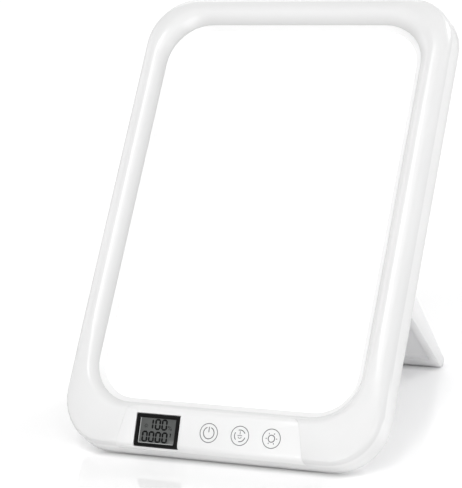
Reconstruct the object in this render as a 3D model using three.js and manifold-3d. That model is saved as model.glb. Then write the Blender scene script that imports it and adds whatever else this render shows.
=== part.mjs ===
// Light therapy lamp: an edge-lit panel with a crowned frame, a small display with three touch keys
// in its lower bar, and a fold-out stand behind. Sizes are in millimetres.
// The panel is built upright (+X right, +Y back, +Z up the panel) and then leaned back on its stand.
import * as THREE from 'three';
import { mergeVertices } from 'three/addons/utils/BufferGeometryUtils.js';
import Module from 'manifold-3d';

const wasm = await Module();
wasm.setup();

// Outline of the body and of the window in it; depth zero is the front edge of the window
const bodyWidth = 179;
const bodyCornerRadius = 27;
const sideBarWidth = 15;
const windowWidth = bodyWidth - 2 * sideBarWidth;
const windowHeight = 218.9;
const windowCornerRadius = 24;
const topBarHeight = 15.8;
const controlBarHeight = 24;
const wallDraft = 0.4;

// Section of the frame, which changes from a round crown on three sides to a flatter control bar
const crownRise = 5;
const barRise = 3.8;
const barFall = 3.4;
const crownWallTop = 2.7;
const barWallTop = 10.2;
const blendHeight = 65;
const crownPeakShare = 0.45;
const barPeakShare = 0.2;
const crownRoundStartShare = 0.5;
const barRoundStartShare = 0.88;
const crownRoundPower = 2;
const barRoundPower = 3;
const riseShares = [0, 0.25, 0.5, 0.75, 1];
const roundShares = [0, 0.45, 0.7, 0.84, 0.92, 0.965, 0.99, 1];
const insideShares = [1, 0.72, 0.44, 0.18];
const frameWall = 2.2;
const barWall = 3.8;
const seamDepth = 13;
const lipWidth = 3.1;
const lipStep = 1.2;
const lipFall = 1.4;
const lipThickness = 1.4;
const lipShoulderShare = 0.12;

// Control insert, display and keys, set on the sloping face of the lower bar
const insertTopWidth = 94.8;
const insertFlare = 5.4;
const insertBottomWidth = insertTopWidth + 2 * insertFlare;
const insertOffset = -1.4;
const insertThickness = 1.6;
const insertTopDrop = 2.4;
const insertRoundSteps = 6;
const insertCornerRadius = 4;
const displayWidth = 24.4;
const displayHeight = 16.5;
const displayBorder = 1.6;
const displayProud = 0.3;
const displayDepth = 3;
const displayInset = 18.2;
const displayOffset = insertOffset - insertTopWidth / 2 + displayInset;
const displayCentreHeight = 9.3;
const glassSunk = 0.5;
const glassThickness = 1.1;
const keyCount = 3;
const keyPitch = 17.35;
const keyRise = 1.4;
const keyRowShift = 16.8;
const middleKeyOffset = insertOffset + keyRowShift;
const keySpringRadius = 3.2;
const keySpringWaist = 2.2;
const controlBoardDepth = 6;
const controlBoardMargin = 1.6;
const controlBoardWidth = insertTopWidth + 2 * controlBoardMargin;
const controlBoardHeight = 12;
const controlBoardRise = 1.4;
const boardThickness = 1.6;
const controlWindowMargin = 1.2;
const boardPostRadius = 2.6;
const boardPostInset = 3.2;
const boardPostOffset = controlBoardWidth / 2 - boardPostInset;
const boardScrewRadius = 0.9;
const boardScrewReach = 3;
const boardScrewHead = 2.2;
const boardScrewHeadHeight = 1.2;

// Light panel behind the window: diffuser, light guide, reflector and the metal tray that holds them
const fitGap = 0.3;
const diffuserThickness = 2;
const guideThickness = 3;
const reflectorThickness = 0.5;
const trayWall = 1;
const diffuserInset = 0.5;
const guideInset = 2.8;
const stripBoardThickness = 1;
const stripHeight = 3.2;
const stripLength = 164;
const ledWidth = 3.4;
const ledThickness = 1;
const ledHeight = 2;
const ledCount = 16;
const leadSlotHeight = 8;
const leadSlotWidth = 2;
const leadThickness = 0.7;
const leadWidth = 5;
const leadDepth = 12.5;

// Rear cover with its raised housing, sloping heel and locating rim
const rearInset = 1;
const rearDepth = 15.2;
const rearEdgeRadius = 1.8;
const rimThickness = 1.5;
const rimReach = 2.8;
const housingWall = 2.2;
const housingHeight = 92;
const housingCornerRadius = 12;
const housingEdgeBevel = 1.8;
const heelInset = 31.5;
const heelWidth = bodyWidth - 2 * heelInset;
const heelTopHeight = 13;
const heelWall = 1.6;
const pillarRadius = 2.5;
const pillarLeadGap = 1;
const pillarPlaceShares = [
  [-0.35, 0.19],
  [0.35, 0.19],
  [-0.395, 0.58],
  [0.395, 0.58],
  [-0.35, 0.88],
  [0.35, 0.88],
  [0, 0.35],
];
const ventCount = 9;
const ventWidth = 2.2;
const ventHeight = 20;
const ventPitch = 6.4;
const ventCornerRadius = 1.08;
const ventCentreHeight = 52;

// Screws that hold the rear cover to bosses of the frame
const coverScrewInset = 8.3;
const coverScrewSide = bodyWidth / 2 - coverScrewInset;
const coverScrewHeightShares = [0.14, 0.5, 0.87];
const bossRadius = 3;
const screwHeadRadius = 2.7;
const screwHeadHeight = 2;
const screwShankRadius = 1.3;
const screwLength = 8;
const screwSlotWidth = 0.8;
const screwSlotDepth = 0.8;
const cupRadius = 4.4;
const cupReach = 5;
const counterboreDepth = 3.2;

// Stand: a tapered plate on two pins, open at its stop
const standInset = 22.5;
const standWidth = bodyWidth - 2 * standInset;
const hingeRadius = 6;
const pivotHeight = 120.1;
const foldGap = 0.4;
const coveGap = 0.55;
const openAngle = THREE.MathUtils.degToRad(78.7);
const taperStart = 52.4;
const footReach = 112.6;
const footOffset = -0.3;
const footFlat = 6.4;
const tipBack = 3.5;
const tipBackReach = 113.4;
const standCornerRadius = 4;
const standBorder = 5;
const standRecess = 2.2;
const standRibWidth = 2;
const standRibCount = 3;
const earWidth = 9;
const earInset = 15;
const earCentre = standWidth / 2 - earInset;
const earGap = 0.35;
const pinRadius = 1.5;
const pinOverhang = 6;
const washerRadius = 4;
const washerThickness = 0.6;
const stopGap = 0.3;

// Rubber feet, all with their soles in the plane that the lamp stands on
const baseFootDepth = 15.7;
const baseFootLength = 30;
const baseFootWidth = 4;
const baseFootInset = 22;
const baseFootCentre = heelWidth / 2 - baseFootInset;
const standFootLength = 40;
const standFootWidth = 3.8;
const standFootInset = 27;
const standFootCentre = standWidth / 2 - standFootInset;
const footSunk = 0.8;
const footProud = 0.6;

// Main board in the housing, with its parts, cables and power socket
const mainBoardInset = 19;
const mainBoardWidth = standWidth - 2 * mainBoardInset;
const mainBoardHeight = 58;
const mainBoardDepth = 15.6;
const mainBoardRise = 14;
const boardHoleInset = 5;
const boardHoleRadius = 1.6;
const postRadius = 3;
const coilRadius = 6;
const coilHeight = 5.6;
const coilWaist = 4.2;
const coilFlange = 0.9;
const capacitorRadius = 4;
const capacitorHeight = 7;
const driverChipSize = 6;
const driverChipHeight = 1.4;
const coilPlaceShares = [0.12, 0.1];
const capacitorPlaceShares = [0.31, 0.18];
const chipPlaceShares = [-0.04, -0.06];
const jackSize = 10;
const jackNoseRadius = 4.1;
const jackBoreRadius = 2.8;
const jackBoreDepth = 8;
const jackPinRadius = 1;
const jackPinSunk = 0.8;
const jackInset = 14;
const jackOffset = jackInset - mainBoardWidth / 2;
const jackRise = 12;
const ribbonWidth = 9;
const ribbonThickness = 0.5;
const ribbonOffset = 22;
const ribbonDepth = 12.5;
const overrun = 2;
const facetLength = 1.5;
const fewestSides = 12;
const mostSides = 32;
const weldDistance = 0.0001;
const ringArcSteps = 10;
const arcSteps = 6;
const bevelSteps = 3;
const hingeRoundSteps = 14;
const sideCutShares = [0.06, 0.12, 0.18, 0.25, 0.4, 0.6, 0.8];

const bodyHeight = controlBarHeight + windowHeight + topBarHeight;
const windowTop = controlBarHeight + windowHeight;
const lipDepth = lipStep + lipFall;
const lipBack = lipDepth + lipThickness;
const pivotDepth = rearDepth + foldGap + hingeRadius;
const housingDepth = pivotDepth + hingeRadius;
const baseDepth = seamDepth;
const barSpan = controlBarHeight - wallDraft;
const footPoint = rotated(footOffset, -footReach, openAngle);
const barSlope = Math.atan2(barFall, (1 - barPeakShare) * barSpan);
const white = { color: 0xf3f3f4, roughness: 0.35, metalness: 0 };
const steel = { color: 0xb9bcc0, roughness: 0.35, metalness: 1 };
const boardGreen = { color: 0x2f6b45, roughness: 0.6, metalness: 0 };
const rubber = { color: 0x8d9094, roughness: 0.85, metalness: 0 };

// The point (y, z) turned about the X axis
function rotated(y, z, angle) {
  return {
    y: y * Math.cos(angle) - z * Math.sin(angle),
    z: y * Math.sin(angle) + z * Math.cos(angle),
  };
}

// The base is cut parallel to the table, so the lean follows from the two soles: the cut starts at
// the seam on the bottom edge, and the stand's sole lies in the same plane
function leanAngle() {
  const y = pivotDepth + footPoint.y - baseDepth;
  const z = pivotHeight + footPoint.z;
  return Math.atan2(z, y);
}
const lean = leanAngle();
const soleAngle = openAngle - lean;

function mix(a, b, share) {
  return a + (b - a) * share;
}

function smooth(share) {
  const t = Math.min(1, Math.max(0, share));
  return t * t * (3 - 2 * t);
}

// Solids: conversions between three.js geometry and manifold solids
function toSolid(geometry) {
  const bare = geometry.index ? geometry.clone() : mergeVertices(geometry.clone());
  bare.deleteAttribute('normal');
  bare.deleteAttribute('uv');
  const merged = mergeVertices(bare, weldDistance);
  const mesh = new wasm.Mesh({
    numProp: 3,
    vertProperties: new Float32Array(merged.attributes.position.array),
    triVerts: new Uint32Array(merged.index.array),
  });
  return new wasm.Manifold(mesh);
}

function toGeometry(solid) {
  const mesh = solid.getMesh();
  const geometry = new THREE.BufferGeometry();
  geometry.setAttribute('position', new THREE.BufferAttribute(mesh.vertProperties, 3));
  geometry.setIndex(new THREE.BufferAttribute(mesh.triVerts, 1));
  geometry.computeVertexNormals();
  return geometry;
}

function minus(solid, ...tools) {
  return tools.reduce((result, tool) => result.subtract(tool), solid);
}

function plus(solid, ...others) {
  return others.reduce((result, other) => result.add(other), solid);
}

function box(xMin, xMax, yMin, yMax, zMin, zMax) {
  const geometry = new THREE.BoxGeometry(xMax - xMin, yMax - yMin, zMax - zMin);
  geometry.translate((xMin + xMax) / 2, (yMin + yMax) / 2, (zMin + zMax) / 2);
  return toSolid(geometry);
}

function segmentsFor(radius) {
  const sides = 4 * Math.round((Math.PI * radius) / (2 * facetLength));
  return Math.max(fewestSides, Math.min(mostSides, sides));
}

// A cylinder along Y between two depths
function depthCylinder(x, z, radius, yMin, yMax) {
  const geometry = new THREE.CylinderGeometry(radius, radius, yMax - yMin, segmentsFor(radius));
  geometry.translate(x, (yMin + yMax) / 2, z);
  return toSolid(geometry);
}

// A cylinder along X between two sides
function crossCylinder(y, z, radius, xMin, xMax) {
  const geometry = new THREE.CylinderGeometry(radius, radius, xMax - xMin, segmentsFor(radius));
  geometry.rotateZ(-Math.PI / 2);
  geometry.translate((xMin + xMax) / 2, y, z);
  return toSolid(geometry);
}

// A revolved profile of (radius, depth) pairs about an axis along Y
function depthLathe(x, z, profile) {
  const points = profile.map(([radius, depth]) => new THREE.Vector2(radius, depth));
  const widest = Math.max(...profile.map(([radius]) => radius));
  const geometry = new THREE.LatheGeometry(points, segmentsFor(widest));
  geometry.translate(x, 0, z);
  return outward(geometry);
}

// A solid whose faces point out, whichever way its profile was drawn
function outward(geometry) {
  const solid = toSolid(geometry);
  if (solid.volume() > 0) return solid;
  const index = geometry.index.array;
  for (let i = 0; i < index.length; i += 3) {
    const first = index[i];
    index[i] = index[i + 1];
    index[i + 1] = first;
  }
  return toSolid(geometry);
}

// An outline in depth and height, drawn along X
function sidePrism(points, xMin, xMax) {
  const shape = new THREE.Shape(points.map(([y, z]) => new THREE.Vector2(y, z)));
  const geometry = new THREE.ExtrudeGeometry(shape, { depth: xMax - xMin, bevelEnabled: false });
  const axes = new THREE.Matrix4().makeBasis(
    new THREE.Vector3(0, 1, 0),
    new THREE.Vector3(0, 0, 1),
    new THREE.Vector3(1, 0, 0),
  );
  geometry.applyMatrix4(axes);
  geometry.translate(xMin, 0, 0);
  return toSolid(geometry);
}

// An outline in width and height, drawn back along Y
function frontPrism(shape, yMin, yMax, bevel = 0) {
  const options = {
    depth: yMax - yMin - 2 * bevel,
    bevelEnabled: bevel > 0,
    bevelThickness: bevel,
    bevelSize: bevel,
    bevelOffset: -bevel,
    bevelSegments: bevelSteps,
    curveSegments: arcSteps,
  };
  const geometry = new THREE.ExtrudeGeometry(shape, options);
  const axes = new THREE.Matrix4().makeBasis(
    new THREE.Vector3(1, 0, 0),
    new THREE.Vector3(0, 0, 1),
    new THREE.Vector3(0, -1, 0),
  );
  geometry.applyMatrix4(axes);
  geometry.translate(0, yMax - bevel, 0);
  return toSolid(geometry);
}

function roundedShape(xMin, xMax, zMin, zMax, radius) {
  const shape = new THREE.Shape();
  shape.moveTo(xMin + radius, zMin);
  shape.lineTo(xMax - radius, zMin);
  shape.absarc(xMax - radius, zMin + radius, radius, -Math.PI / 2, 0, false);
  shape.lineTo(xMax, zMax - radius);
  shape.absarc(xMax - radius, zMax - radius, radius, 0, Math.PI / 2, false);
  shape.lineTo(xMin + radius, zMax);
  shape.absarc(xMin + radius, zMax - radius, radius, Math.PI / 2, Math.PI, false);
  shape.lineTo(xMin, zMin + radius);
  shape.absarc(xMin + radius, zMin + radius, radius, Math.PI, 1.5 * Math.PI, false);
  return shape;
}

// Points round a rounded rectangle, with the same count for every size, so that outlines can be lofted
function ringOutline(halfWidth, zMin, zMax, radius) {
  const right = [];
  for (let i = 0; i <= ringArcSteps; i += 1) {
    const angle = -Math.PI / 2 + (i / ringArcSteps) * (Math.PI / 2);
    right.push([halfWidth - radius + radius * Math.cos(angle), zMin + radius + radius * Math.sin(angle)]);
  }
  for (const share of sideCutShares) {
    right.push([halfWidth, mix(zMin + radius, zMax - radius, share)]);
  }
  for (let i = 0; i <= ringArcSteps; i += 1) {
    const angle = (i / ringArcSteps) * (Math.PI / 2);
    right.push([halfWidth - radius + radius * Math.cos(angle), zMax - radius + radius * Math.sin(angle)]);
  }
  const left = right.map(([x, z]) => [-x, z]).reverse();
  return [...right, ...left];
}

// An outline of the body, drawn in from its edge
function bodyRing(inset) {
  return ringOutline(bodyWidth / 2 - inset, inset, bodyHeight - inset, bodyCornerRadius - inset);
}

// An outline that follows the window, grown or shrunk
function windowRing(growth) {
  return ringOutline(
    windowWidth / 2 + growth,
    controlBarHeight - growth,
    windowTop + growth,
    windowCornerRadius + growth,
  );
}

function quadIndex(index, a, b, c, d) {
  index.push(a, b, c, a, c, d);
}

// A closed ring: one closed section for each point of the outline
function loftRing(sections) {
  const count = sections.length;
  const size = sections[0].length;
  const index = [];
  for (let i = 0; i < count; i += 1) {
    const next = (i + 1) % count;
    for (let j = 0; j < size; j += 1) {
      const along = (j + 1) % size;
      quadIndex(index, i * size + j, next * size + j, next * size + along, i * size + along);
    }
  }
  return indexedSolid(sections.flat(), index);
}

// A closed stack: outlines at several depths, with flat ends
function loftStack(levels) {
  const size = levels[0].length;
  const index = [];
  for (let i = 0; i + 1 < levels.length; i += 1) {
    for (let j = 0; j < size; j += 1) {
      const along = (j + 1) % size;
      quadIndex(index, i * size + j, i * size + along, (i + 1) * size + along, (i + 1) * size + j);
    }
  }
  const last = (levels.length - 1) * size;
  for (let j = 0; j < size / 2 - 1; j += 1) {
    const mirrored = size - 1 - j;
    quadIndex(index, j, mirrored, mirrored - 1, j + 1);
    quadIndex(index, last + j, last + j + 1, last + mirrored - 1, last + mirrored);
  }
  return indexedSolid(levels.flat(), index);
}

function indexedSolid(points, index) {
  const geometry = new THREE.BufferGeometry();
  geometry.setAttribute('position', new THREE.Float32BufferAttribute(points.flat(), 3));
  geometry.setIndex(index);
  return outward(geometry);
}

// Depth of the frame's face at a share of the way from the window to the outer wall
function faceDepth(share, blend) {
  const peak = mix(crownPeakShare, barPeakShare, blend);
  const rise = mix(crownRise, barRise, blend);
  if (share <= peak) return -rise * Math.sin((Math.PI / 2) * (share / peak));
  const roundStart = mix(crownRoundStartShare, barRoundStartShare, blend);
  const power = mix(crownRoundPower, barRoundPower, blend);
  const fall = blend * barFall;
  const drop = mix(crownWallTop, barWallTop, blend) + rise - fall;
  const t = Math.min(1, Math.max(0, (share - roundStart) / (1 - roundStart)));
  const slope = (fall * (share - peak)) / (1 - peak);
  return -rise + slope + drop * (1 - (1 - t ** power) ** (1 / power));
}

// Where the face is sampled: up to the peak, then round the outer edge
function faceShares(blend) {
  const peak = mix(crownPeakShare, barPeakShare, blend);
  const roundStart = mix(crownRoundStartShare, barRoundStartShare, blend);
  return [
    ...riseShares.map((share) => share * peak),
    ...roundShares.map((share) => mix(roundStart, 1, share)),
  ];
}

// The room under the frame's face, in which the bosses must end
function frameRoom() {
  const seam = bodyRing(wallDraft + frameWall / 2);
  const inner = windowRing(frameWall / 2);
  return loftRing(seam.map((outer, i) => {
    const blend = smooth(1 - outer[1] / blendHeight);
    const point = (share, depth) => [
      mix(inner[i][0], outer[0], share),
      depth,
      mix(inner[i][1], outer[1], share),
    ];
    const face = faceShares(blend).map((share) => point(share, faceDepth(share, blend) + frameWall / 2));
    return [...face, point(1, bodyHeight), point(0, bodyHeight)];
  }));
}

// One section of the frame: over the crown from the lip to the seam, and back along the inside
function frameSection(seam, outer, inner, lip) {
  const blend = smooth(1 - outer[1] / blendHeight);
  const wall = mix(frameWall, barWall, blend);
  const width = Math.hypot(outer[0] - inner[0], outer[1] - inner[1]);
  const wallShare = 1 - wall / width;
  const point = (share, depth) => [mix(inner[0], outer[0], share), depth, mix(inner[1], outer[1], share)];
  const section = [[lip[0], lipDepth, lip[1]], point(0, lipStep)];
  for (const share of faceShares(blend)) section.push(point(share, faceDepth(share, blend)));
  section.push([seam[0], seamDepth, seam[1]], point(wallShare, seamDepth));
  const insideDepth = (share) => Math.min(lipBack, faceDepth(share, blend) + wall);
  for (const share of insideShares) {
    const inside = mix(lipShoulderShare, wallShare, share);
    section.push(point(inside, insideDepth(inside)));
  }
  section.push(point(lipShoulderShare, (insideDepth(lipShoulderShare) + lipBack) / 2));
  section.push(point(lipShoulderShare, lipBack), [lip[0], lipBack, lip[1]]);
  return section;
}

function frameShell() {
  const seam = bodyRing(0);
  const outer = bodyRing(wallDraft);
  const inner = windowRing(0);
  const lip = windowRing(-lipWidth);
  return loftRing(outer.map((point, i) => frameSection(seam[i], point, inner[i], lip[i])));
}

// Everything below the plane of the base, a given distance clear of it
function belowBase(clear) {
  const along = [Math.cos(lean), Math.sin(lean)];
  const down = [Math.sin(lean), -Math.cos(lean)];
  const reach = bodyHeight / 2;
  const at = (s, t) => [
    baseDepth + along[0] * s + down[0] * t,
    along[1] * s + down[1] * t,
  ];
  const points = [at(-reach, clear), at(-reach, reach), at(reach, reach), at(reach, clear)];
  return sidePrism(points, -bodyWidth, bodyWidth);
}

// The plane of the base: the height of the cut at a depth
function baseHeight(depth) {
  return (depth - baseDepth) * Math.tan(lean);
}

// Points of the bar's face that the insert follows, from its upper edge into the bottom round
function barFace() {
  const topShare = insertTopDrop / barSpan;
  const steps = faceShares(1).slice(0, riseShares.length + insertRoundSteps);
  const shares = [topShare, ...steps.filter((share) => share > topShare)];
  return shares.map((share) => [faceDepth(share, 1), controlBarHeight - share * barSpan]);
}

function offsetFace(points, distance) {
  return points.map(([y, z], i) => {
    const before = points[Math.max(0, i - 1)];
    const after = points[Math.min(points.length - 1, i + 1)];
    const length = Math.hypot(after[0] - before[0], after[1] - before[1]);
    const normal = [-(after[1] - before[1]) / length, (after[0] - before[0]) / length];
    return [y + normal[0] * distance, z + normal[1] * distance];
  });
}

// The skin of the control bar between two offsets behind its face
function barSkin(front, back) {
  const face = barFace();
  const points = [...offsetFace(face, front), ...offsetFace(face, back).reverse()];
  const reach = insertBottomWidth;
  return sidePrism(points, -reach, reach);
}

// Front view of the control insert: wider at the foot, with rounded upper corners
function insertShape(growth) {
  const top = controlBarHeight - insertTopDrop + growth;
  const bottom = -overrun;
  const halfTop = insertTopWidth / 2 + growth;
  const halfBottom = insertBottomWidth / 2 + growth;
  const flare = (halfBottom - halfTop) / (top - bottom);
  const r = insertCornerRadius;
  const shape = new THREE.Shape();
  shape.moveTo(insertOffset - halfBottom, bottom);
  shape.lineTo(insertOffset + halfBottom, bottom);
  shape.lineTo(insertOffset + halfTop + flare * r, top - r);
  shape.quadraticCurveTo(insertOffset + halfTop, top, insertOffset + halfTop - r, top);
  shape.lineTo(insertOffset - halfTop + r, top);
  shape.quadraticCurveTo(insertOffset - halfTop, top, insertOffset - halfTop - flare * r, top - r);
  shape.closePath();
  return shape;
}

// Places a solid from the frame of the sloping control face into the panel's frame
const controlDepth = faceDepth((controlBarHeight - displayCentreHeight) / barSpan, 1);
const controlPlace = new THREE.Matrix4()
  .makeTranslation(0, controlDepth, displayCentreHeight)
  .multiply(new THREE.Matrix4().makeRotationX(barSlope));

function onControlFace(solid) {
  return toSolid(toGeometry(solid).applyMatrix4(controlPlace));
}

function displayBlock(growth, front, back) {
  const x = displayOffset;
  const halfWidth = displayWidth / 2 + growth;
  const halfHeight = displayHeight / 2 + growth;
  return box(x - halfWidth, x + halfWidth, front, back, -halfHeight, halfHeight);
}

function keyOffset(i) {
  return middleKeyOffset + (i - 1) * keyPitch;
}

const screwPlaces = coverScrewHeightShares.flatMap((share) => [
  [-coverScrewSide, share * bodyHeight],
  [coverScrewSide, share * bodyHeight],
]);
const cupDepth = rearDepth - cupReach;

// Front frame: the crowned ring with screw bosses, cut for the control insert
function frontFrame() {
  let frame = frameShell();
  const room = frameRoom();
  for (const [x, z] of screwPlaces) {
    const boss = depthCylinder(x, z, bossRadius, -crownRise, cupDepth - fitGap);
    frame = frame.add(boss.intersect(room));
  }
  const posts = [-1, 1].map((side) => onControlFace(depthCylinder(
    insertOffset + side * boardPostOffset,
    controlBoardRise,
    boardPostRadius,
    insertThickness + fitGap * 2,
    controlBoardDepth - fitGap,
  )));
  frame = plus(frame, ...posts);
  const recess = frontPrism(insertShape(fitGap), -bodyWidth, bodyWidth);
  frame = frame.subtract(recess.intersect(barSkin(-overrun * 2, insertThickness + fitGap)));
  const halfHeight = controlBoardHeight / 2 - controlWindowMargin;
  const boardWindow = box(
    displayOffset - displayWidth / 2 - fitGap,
    keyOffset(keyCount - 1) + keySpringRadius + controlWindowMargin,
    0,
    controlBoardDepth,
    controlBoardRise - halfHeight,
    controlBoardRise + halfHeight,
  );
  const displayHole = displayBlock(fitGap, -overrun, controlBoardDepth);
  frame = minus(frame, onControlFace(boardWindow), onControlFace(displayHole));
  for (const [x, z] of screwPlaces) {
    const holeFront = cupDepth - screwLength - fitGap;
    frame = frame.subtract(depthCylinder(x, z, screwShankRadius + fitGap, holeFront, seamDepth));
  }
  for (const side of [-1, 1]) {
    const x = insertOffset + side * boardPostOffset;
    const start = controlBoardDepth - boardScrewReach;
    const hole = depthCylinder(x, controlBoardRise, boardScrewRadius + fitGap, start, controlBoardDepth);
    frame = frame.subtract(onControlFace(hole));
  }
  return frame;
}

function controlInsert() {
  const skin = barSkin(0, insertThickness);
  const outline = frontPrism(insertShape(0), -bodyWidth, bodyWidth);
  const opening = onControlFace(displayBlock(fitGap, -overrun * 2, controlBoardDepth));
  return minus(skin.intersect(outline), opening);
}

// Display: a black frame standing slightly proud, with the glass sunk in it and the lamp behind
function displayFrame() {
  const hole = displayBlock(-displayBorder, -overrun, displayDepth + overrun);
  return onControlFace(displayBlock(0, -displayProud, displayDepth).subtract(hole));
}

function displayGlass() {
  const front = glassSunk - displayProud;
  return onControlFace(displayBlock(-displayBorder - fitGap / 2, front, front + glassThickness));
}

function displayBacklight() {
  const front = glassSunk - displayProud + glassThickness + fitGap;
  return onControlFace(displayBlock(-displayBorder - fitGap, front, controlBoardDepth - fitGap));
}

function controlBoard() {
  const z = controlBoardRise;
  let board = box(
    insertOffset - controlBoardWidth / 2,
    insertOffset + controlBoardWidth / 2,
    controlBoardDepth,
    controlBoardDepth + boardThickness,
    z - controlBoardHeight / 2,
    z + controlBoardHeight / 2,
  );
  for (const side of [-1, 1]) {
    const x = insertOffset + side * boardPostOffset;
    board = board.subtract(depthCylinder(x, z, boardHoleRadius, 0, controlBoardDepth * 2));
  }
  return onControlFace(board);
}

// A waisted conductive pad that carries a key's touch to the board
function keyPad(i) {
  const front = insertThickness + fitGap;
  const back = controlBoardDepth - fitGap;
  const middle = (front + back) / 2;
  return onControlFace(depthLathe(keyOffset(i), keyRise, [
    [0, front],
    [keySpringRadius, front],
    [keySpringWaist, middle],
    [keySpringRadius, back],
    [0, back],
  ]));
}

// A small screw that holds the control board to a post of the frame
function controlBoardScrew(side) {
  const seat = controlBoardDepth + boardThickness + fitGap;
  const x = insertOffset + side * boardPostOffset;
  return onControlFace(depthLathe(x, controlBoardRise, [
    [0, controlBoardDepth - boardScrewReach + fitGap],
    [boardScrewRadius, controlBoardDepth - boardScrewReach + fitGap],
    [boardScrewRadius, seat],
    [boardScrewHead, seat],
    [boardScrewHead, seat + boardScrewHeadHeight],
    [0, seat + boardScrewHeadHeight],
  ]));
}

// Light panel, from front to back
const diffuserFront = lipBack + fitGap;
const guideFront = diffuserFront + diffuserThickness + fitGap;
const reflectorFront = guideFront + guideThickness + fitGap;
const trayFloor = reflectorFront + reflectorThickness + fitGap;
const trayInner = fitGap - diffuserInset;
const trayOuterGrowth = trayInner + trayWall;
const traySide = windowWidth / 2 + trayInner;

function sheetOf(ring, front, back) {
  return loftStack([front, back].map((depth) => ring.map(([x, z]) => [x, depth, z])));
}

// The guide is narrower than the diffuser, which leaves room for a lamp strip at each side
function guideRing() {
  return ringOutline(
    windowWidth / 2 - guideInset,
    controlBarHeight + diffuserInset,
    windowTop - diffuserInset,
    windowCornerRadius - guideInset,
  );
}

function diffuserPlate() {
  return sheetOf(windowRing(-diffuserInset), diffuserFront, diffuserFront + diffuserThickness);
}

function lightGuide() {
  return sheetOf(guideRing(), guideFront, guideFront + guideThickness);
}

function reflectorSheet() {
  return sheetOf(guideRing(), reflectorFront, reflectorFront + reflectorThickness);
}

const stripMiddle = controlBarHeight + windowHeight / 2;

// A lamp strip: its board stands on edge beside the guide, with a row of lamps facing in
function lampStrip(side) {
  const outerFace = traySide - fitGap;
  const innerFace = outerFace - stripBoardThickness;
  let strip = sideBox(side, innerFace, outerFace, guideFront, guideFront + stripHeight, stripLength);
  const pitch = stripLength / ledCount;
  for (let i = 0; i < ledCount; i += 1) {
    const z = stripMiddle - stripLength / 2 + (i + 0.5) * pitch;
    const middle = guideFront + guideThickness / 2;
    const tip = innerFace - ledThickness;
    const lamp = box(
      Math.min(side * tip, side * (innerFace + stripBoardThickness / 2)),
      Math.max(side * tip, side * (innerFace + stripBoardThickness / 2)),
      middle - ledHeight / 2,
      middle + ledHeight / 2,
      z - ledWidth / 2,
      z + ledWidth / 2,
    );
    strip = strip.add(lamp);
  }
  return strip;
}

function sideBox(side, inner, outer, front, back, length) {
  const xMin = side > 0 ? inner : -outer;
  return box(xMin, xMin + outer - inner, front, back, stripMiddle - length / 2, stripMiddle + length / 2);
}

// Metal tray that holds the sheets, with a slot for each strip's lead
function backTray() {
  const front = lipBack + fitGap;
  const outer = sheetOf(windowRing(trayOuterGrowth), front, trayFloor + trayWall);
  const hollow = sheetOf(windowRing(trayInner), front - overrun, trayFloor);
  let tray = outer.subtract(hollow);
  for (const side of [-1, 1]) {
    const outerEdge = traySide - fitGap;
    const xMin = side > 0 ? outerEdge - leadSlotWidth : -outerEdge;
    tray = tray.subtract(box(
      xMin,
      xMin + leadSlotWidth,
      trayFloor - overrun,
      trayFloor + trayWall + overrun,
      mainBoardMiddle - leadSlotHeight / 2,
      mainBoardMiddle + leadSlotHeight / 2,
    ));
  }
  return tray;
}

// A flat lead from a lamp strip, through the tray and in to the main board
function stripLead(side) {
  const outerX = traySide - fitGap - leadSlotWidth / 2;
  const innerX = mainBoardWidth / 2 - leadWidth;
  const half = leadThickness / 2;
  const start = guideFront + stripHeight + fitGap;
  const end = mainBoardDepth - fitGap;
  const points = [
    [outerX - half, start],
    [outerX + half, start],
    [outerX + half, leadDepth + half],
    [innerX + half, leadDepth + half],
    [innerX + half, end],
    [innerX - half, end],
    [innerX - half, leadDepth - half],
    [outerX - half, leadDepth - half],
  ];
  const shape = new THREE.Shape(points.map(([x, y]) => new THREE.Vector2(side * x, y)));
  const geometry = new THREE.ExtrudeGeometry(shape, { depth: leadWidth, bevelEnabled: false });
  geometry.translate(0, 0, mainBoardMiddle - leadWidth / 2);
  return toSolid(geometry);
}

// Rear cover: a lid with a rounded edge, a raised housing for the main board and a sloping heel
function coverLid() {
  const levels = [bodyRing(rearInset).map(([x, z]) => [x, seamDepth + fitGap, z])];
  for (let i = 0; i <= bevelSteps; i += 1) {
    const angle = (i / bevelSteps) * (Math.PI / 2);
    const inset = rearInset + rearEdgeRadius * (1 - Math.cos(angle));
    const depth = rearDepth - rearEdgeRadius * (1 - Math.sin(angle));
    levels.push(bodyRing(inset).map(([x, z]) => [x, depth, z]));
  }
  return loftStack(levels);
}

// The rim stands inside the frame's wall, a clearance away, thicker where that wall is
function coverRim() {
  const inset = wallDraft + frameWall + fitGap;
  const outer = bodyRing(inset);
  const inner = bodyRing(inset + rimThickness);
  const ring = outer.map(([x, z], i) => {
    const lift = smooth(1 - z / blendHeight) * (barWall - frameWall);
    const front = seamDepth - rimReach;
    const back = seamDepth + fitGap + rearEdgeRadius / 2;
    const [innerX, innerZ] = inner[i];
    return [
      [x - Math.sign(x) * lift, front, z + lift],
      [x - Math.sign(x) * lift, back, z + lift],
      [innerX - Math.sign(x) * lift, back, innerZ + lift],
      [innerX - Math.sign(x) * lift, front, innerZ + lift],
    ];
  });
  return loftRing(ring);
}

// Front end of the stand's sole, in the stand's frame
const soleFront = {
  y: footOffset - (footFlat / 2) * Math.cos(soleAngle),
  z: -footReach + (footFlat / 2) * Math.sin(soleAngle),
};
const standTaper = (soleFront.y + hingeRadius) / (-soleFront.z - taperStart);

// Depth of the cover's heel at a height: it follows the taper of the folded stand
function heelDepth(height) {
  return rearDepth + Math.max(0, pivotHeight - taperStart - height) * standTaper;
}

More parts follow.
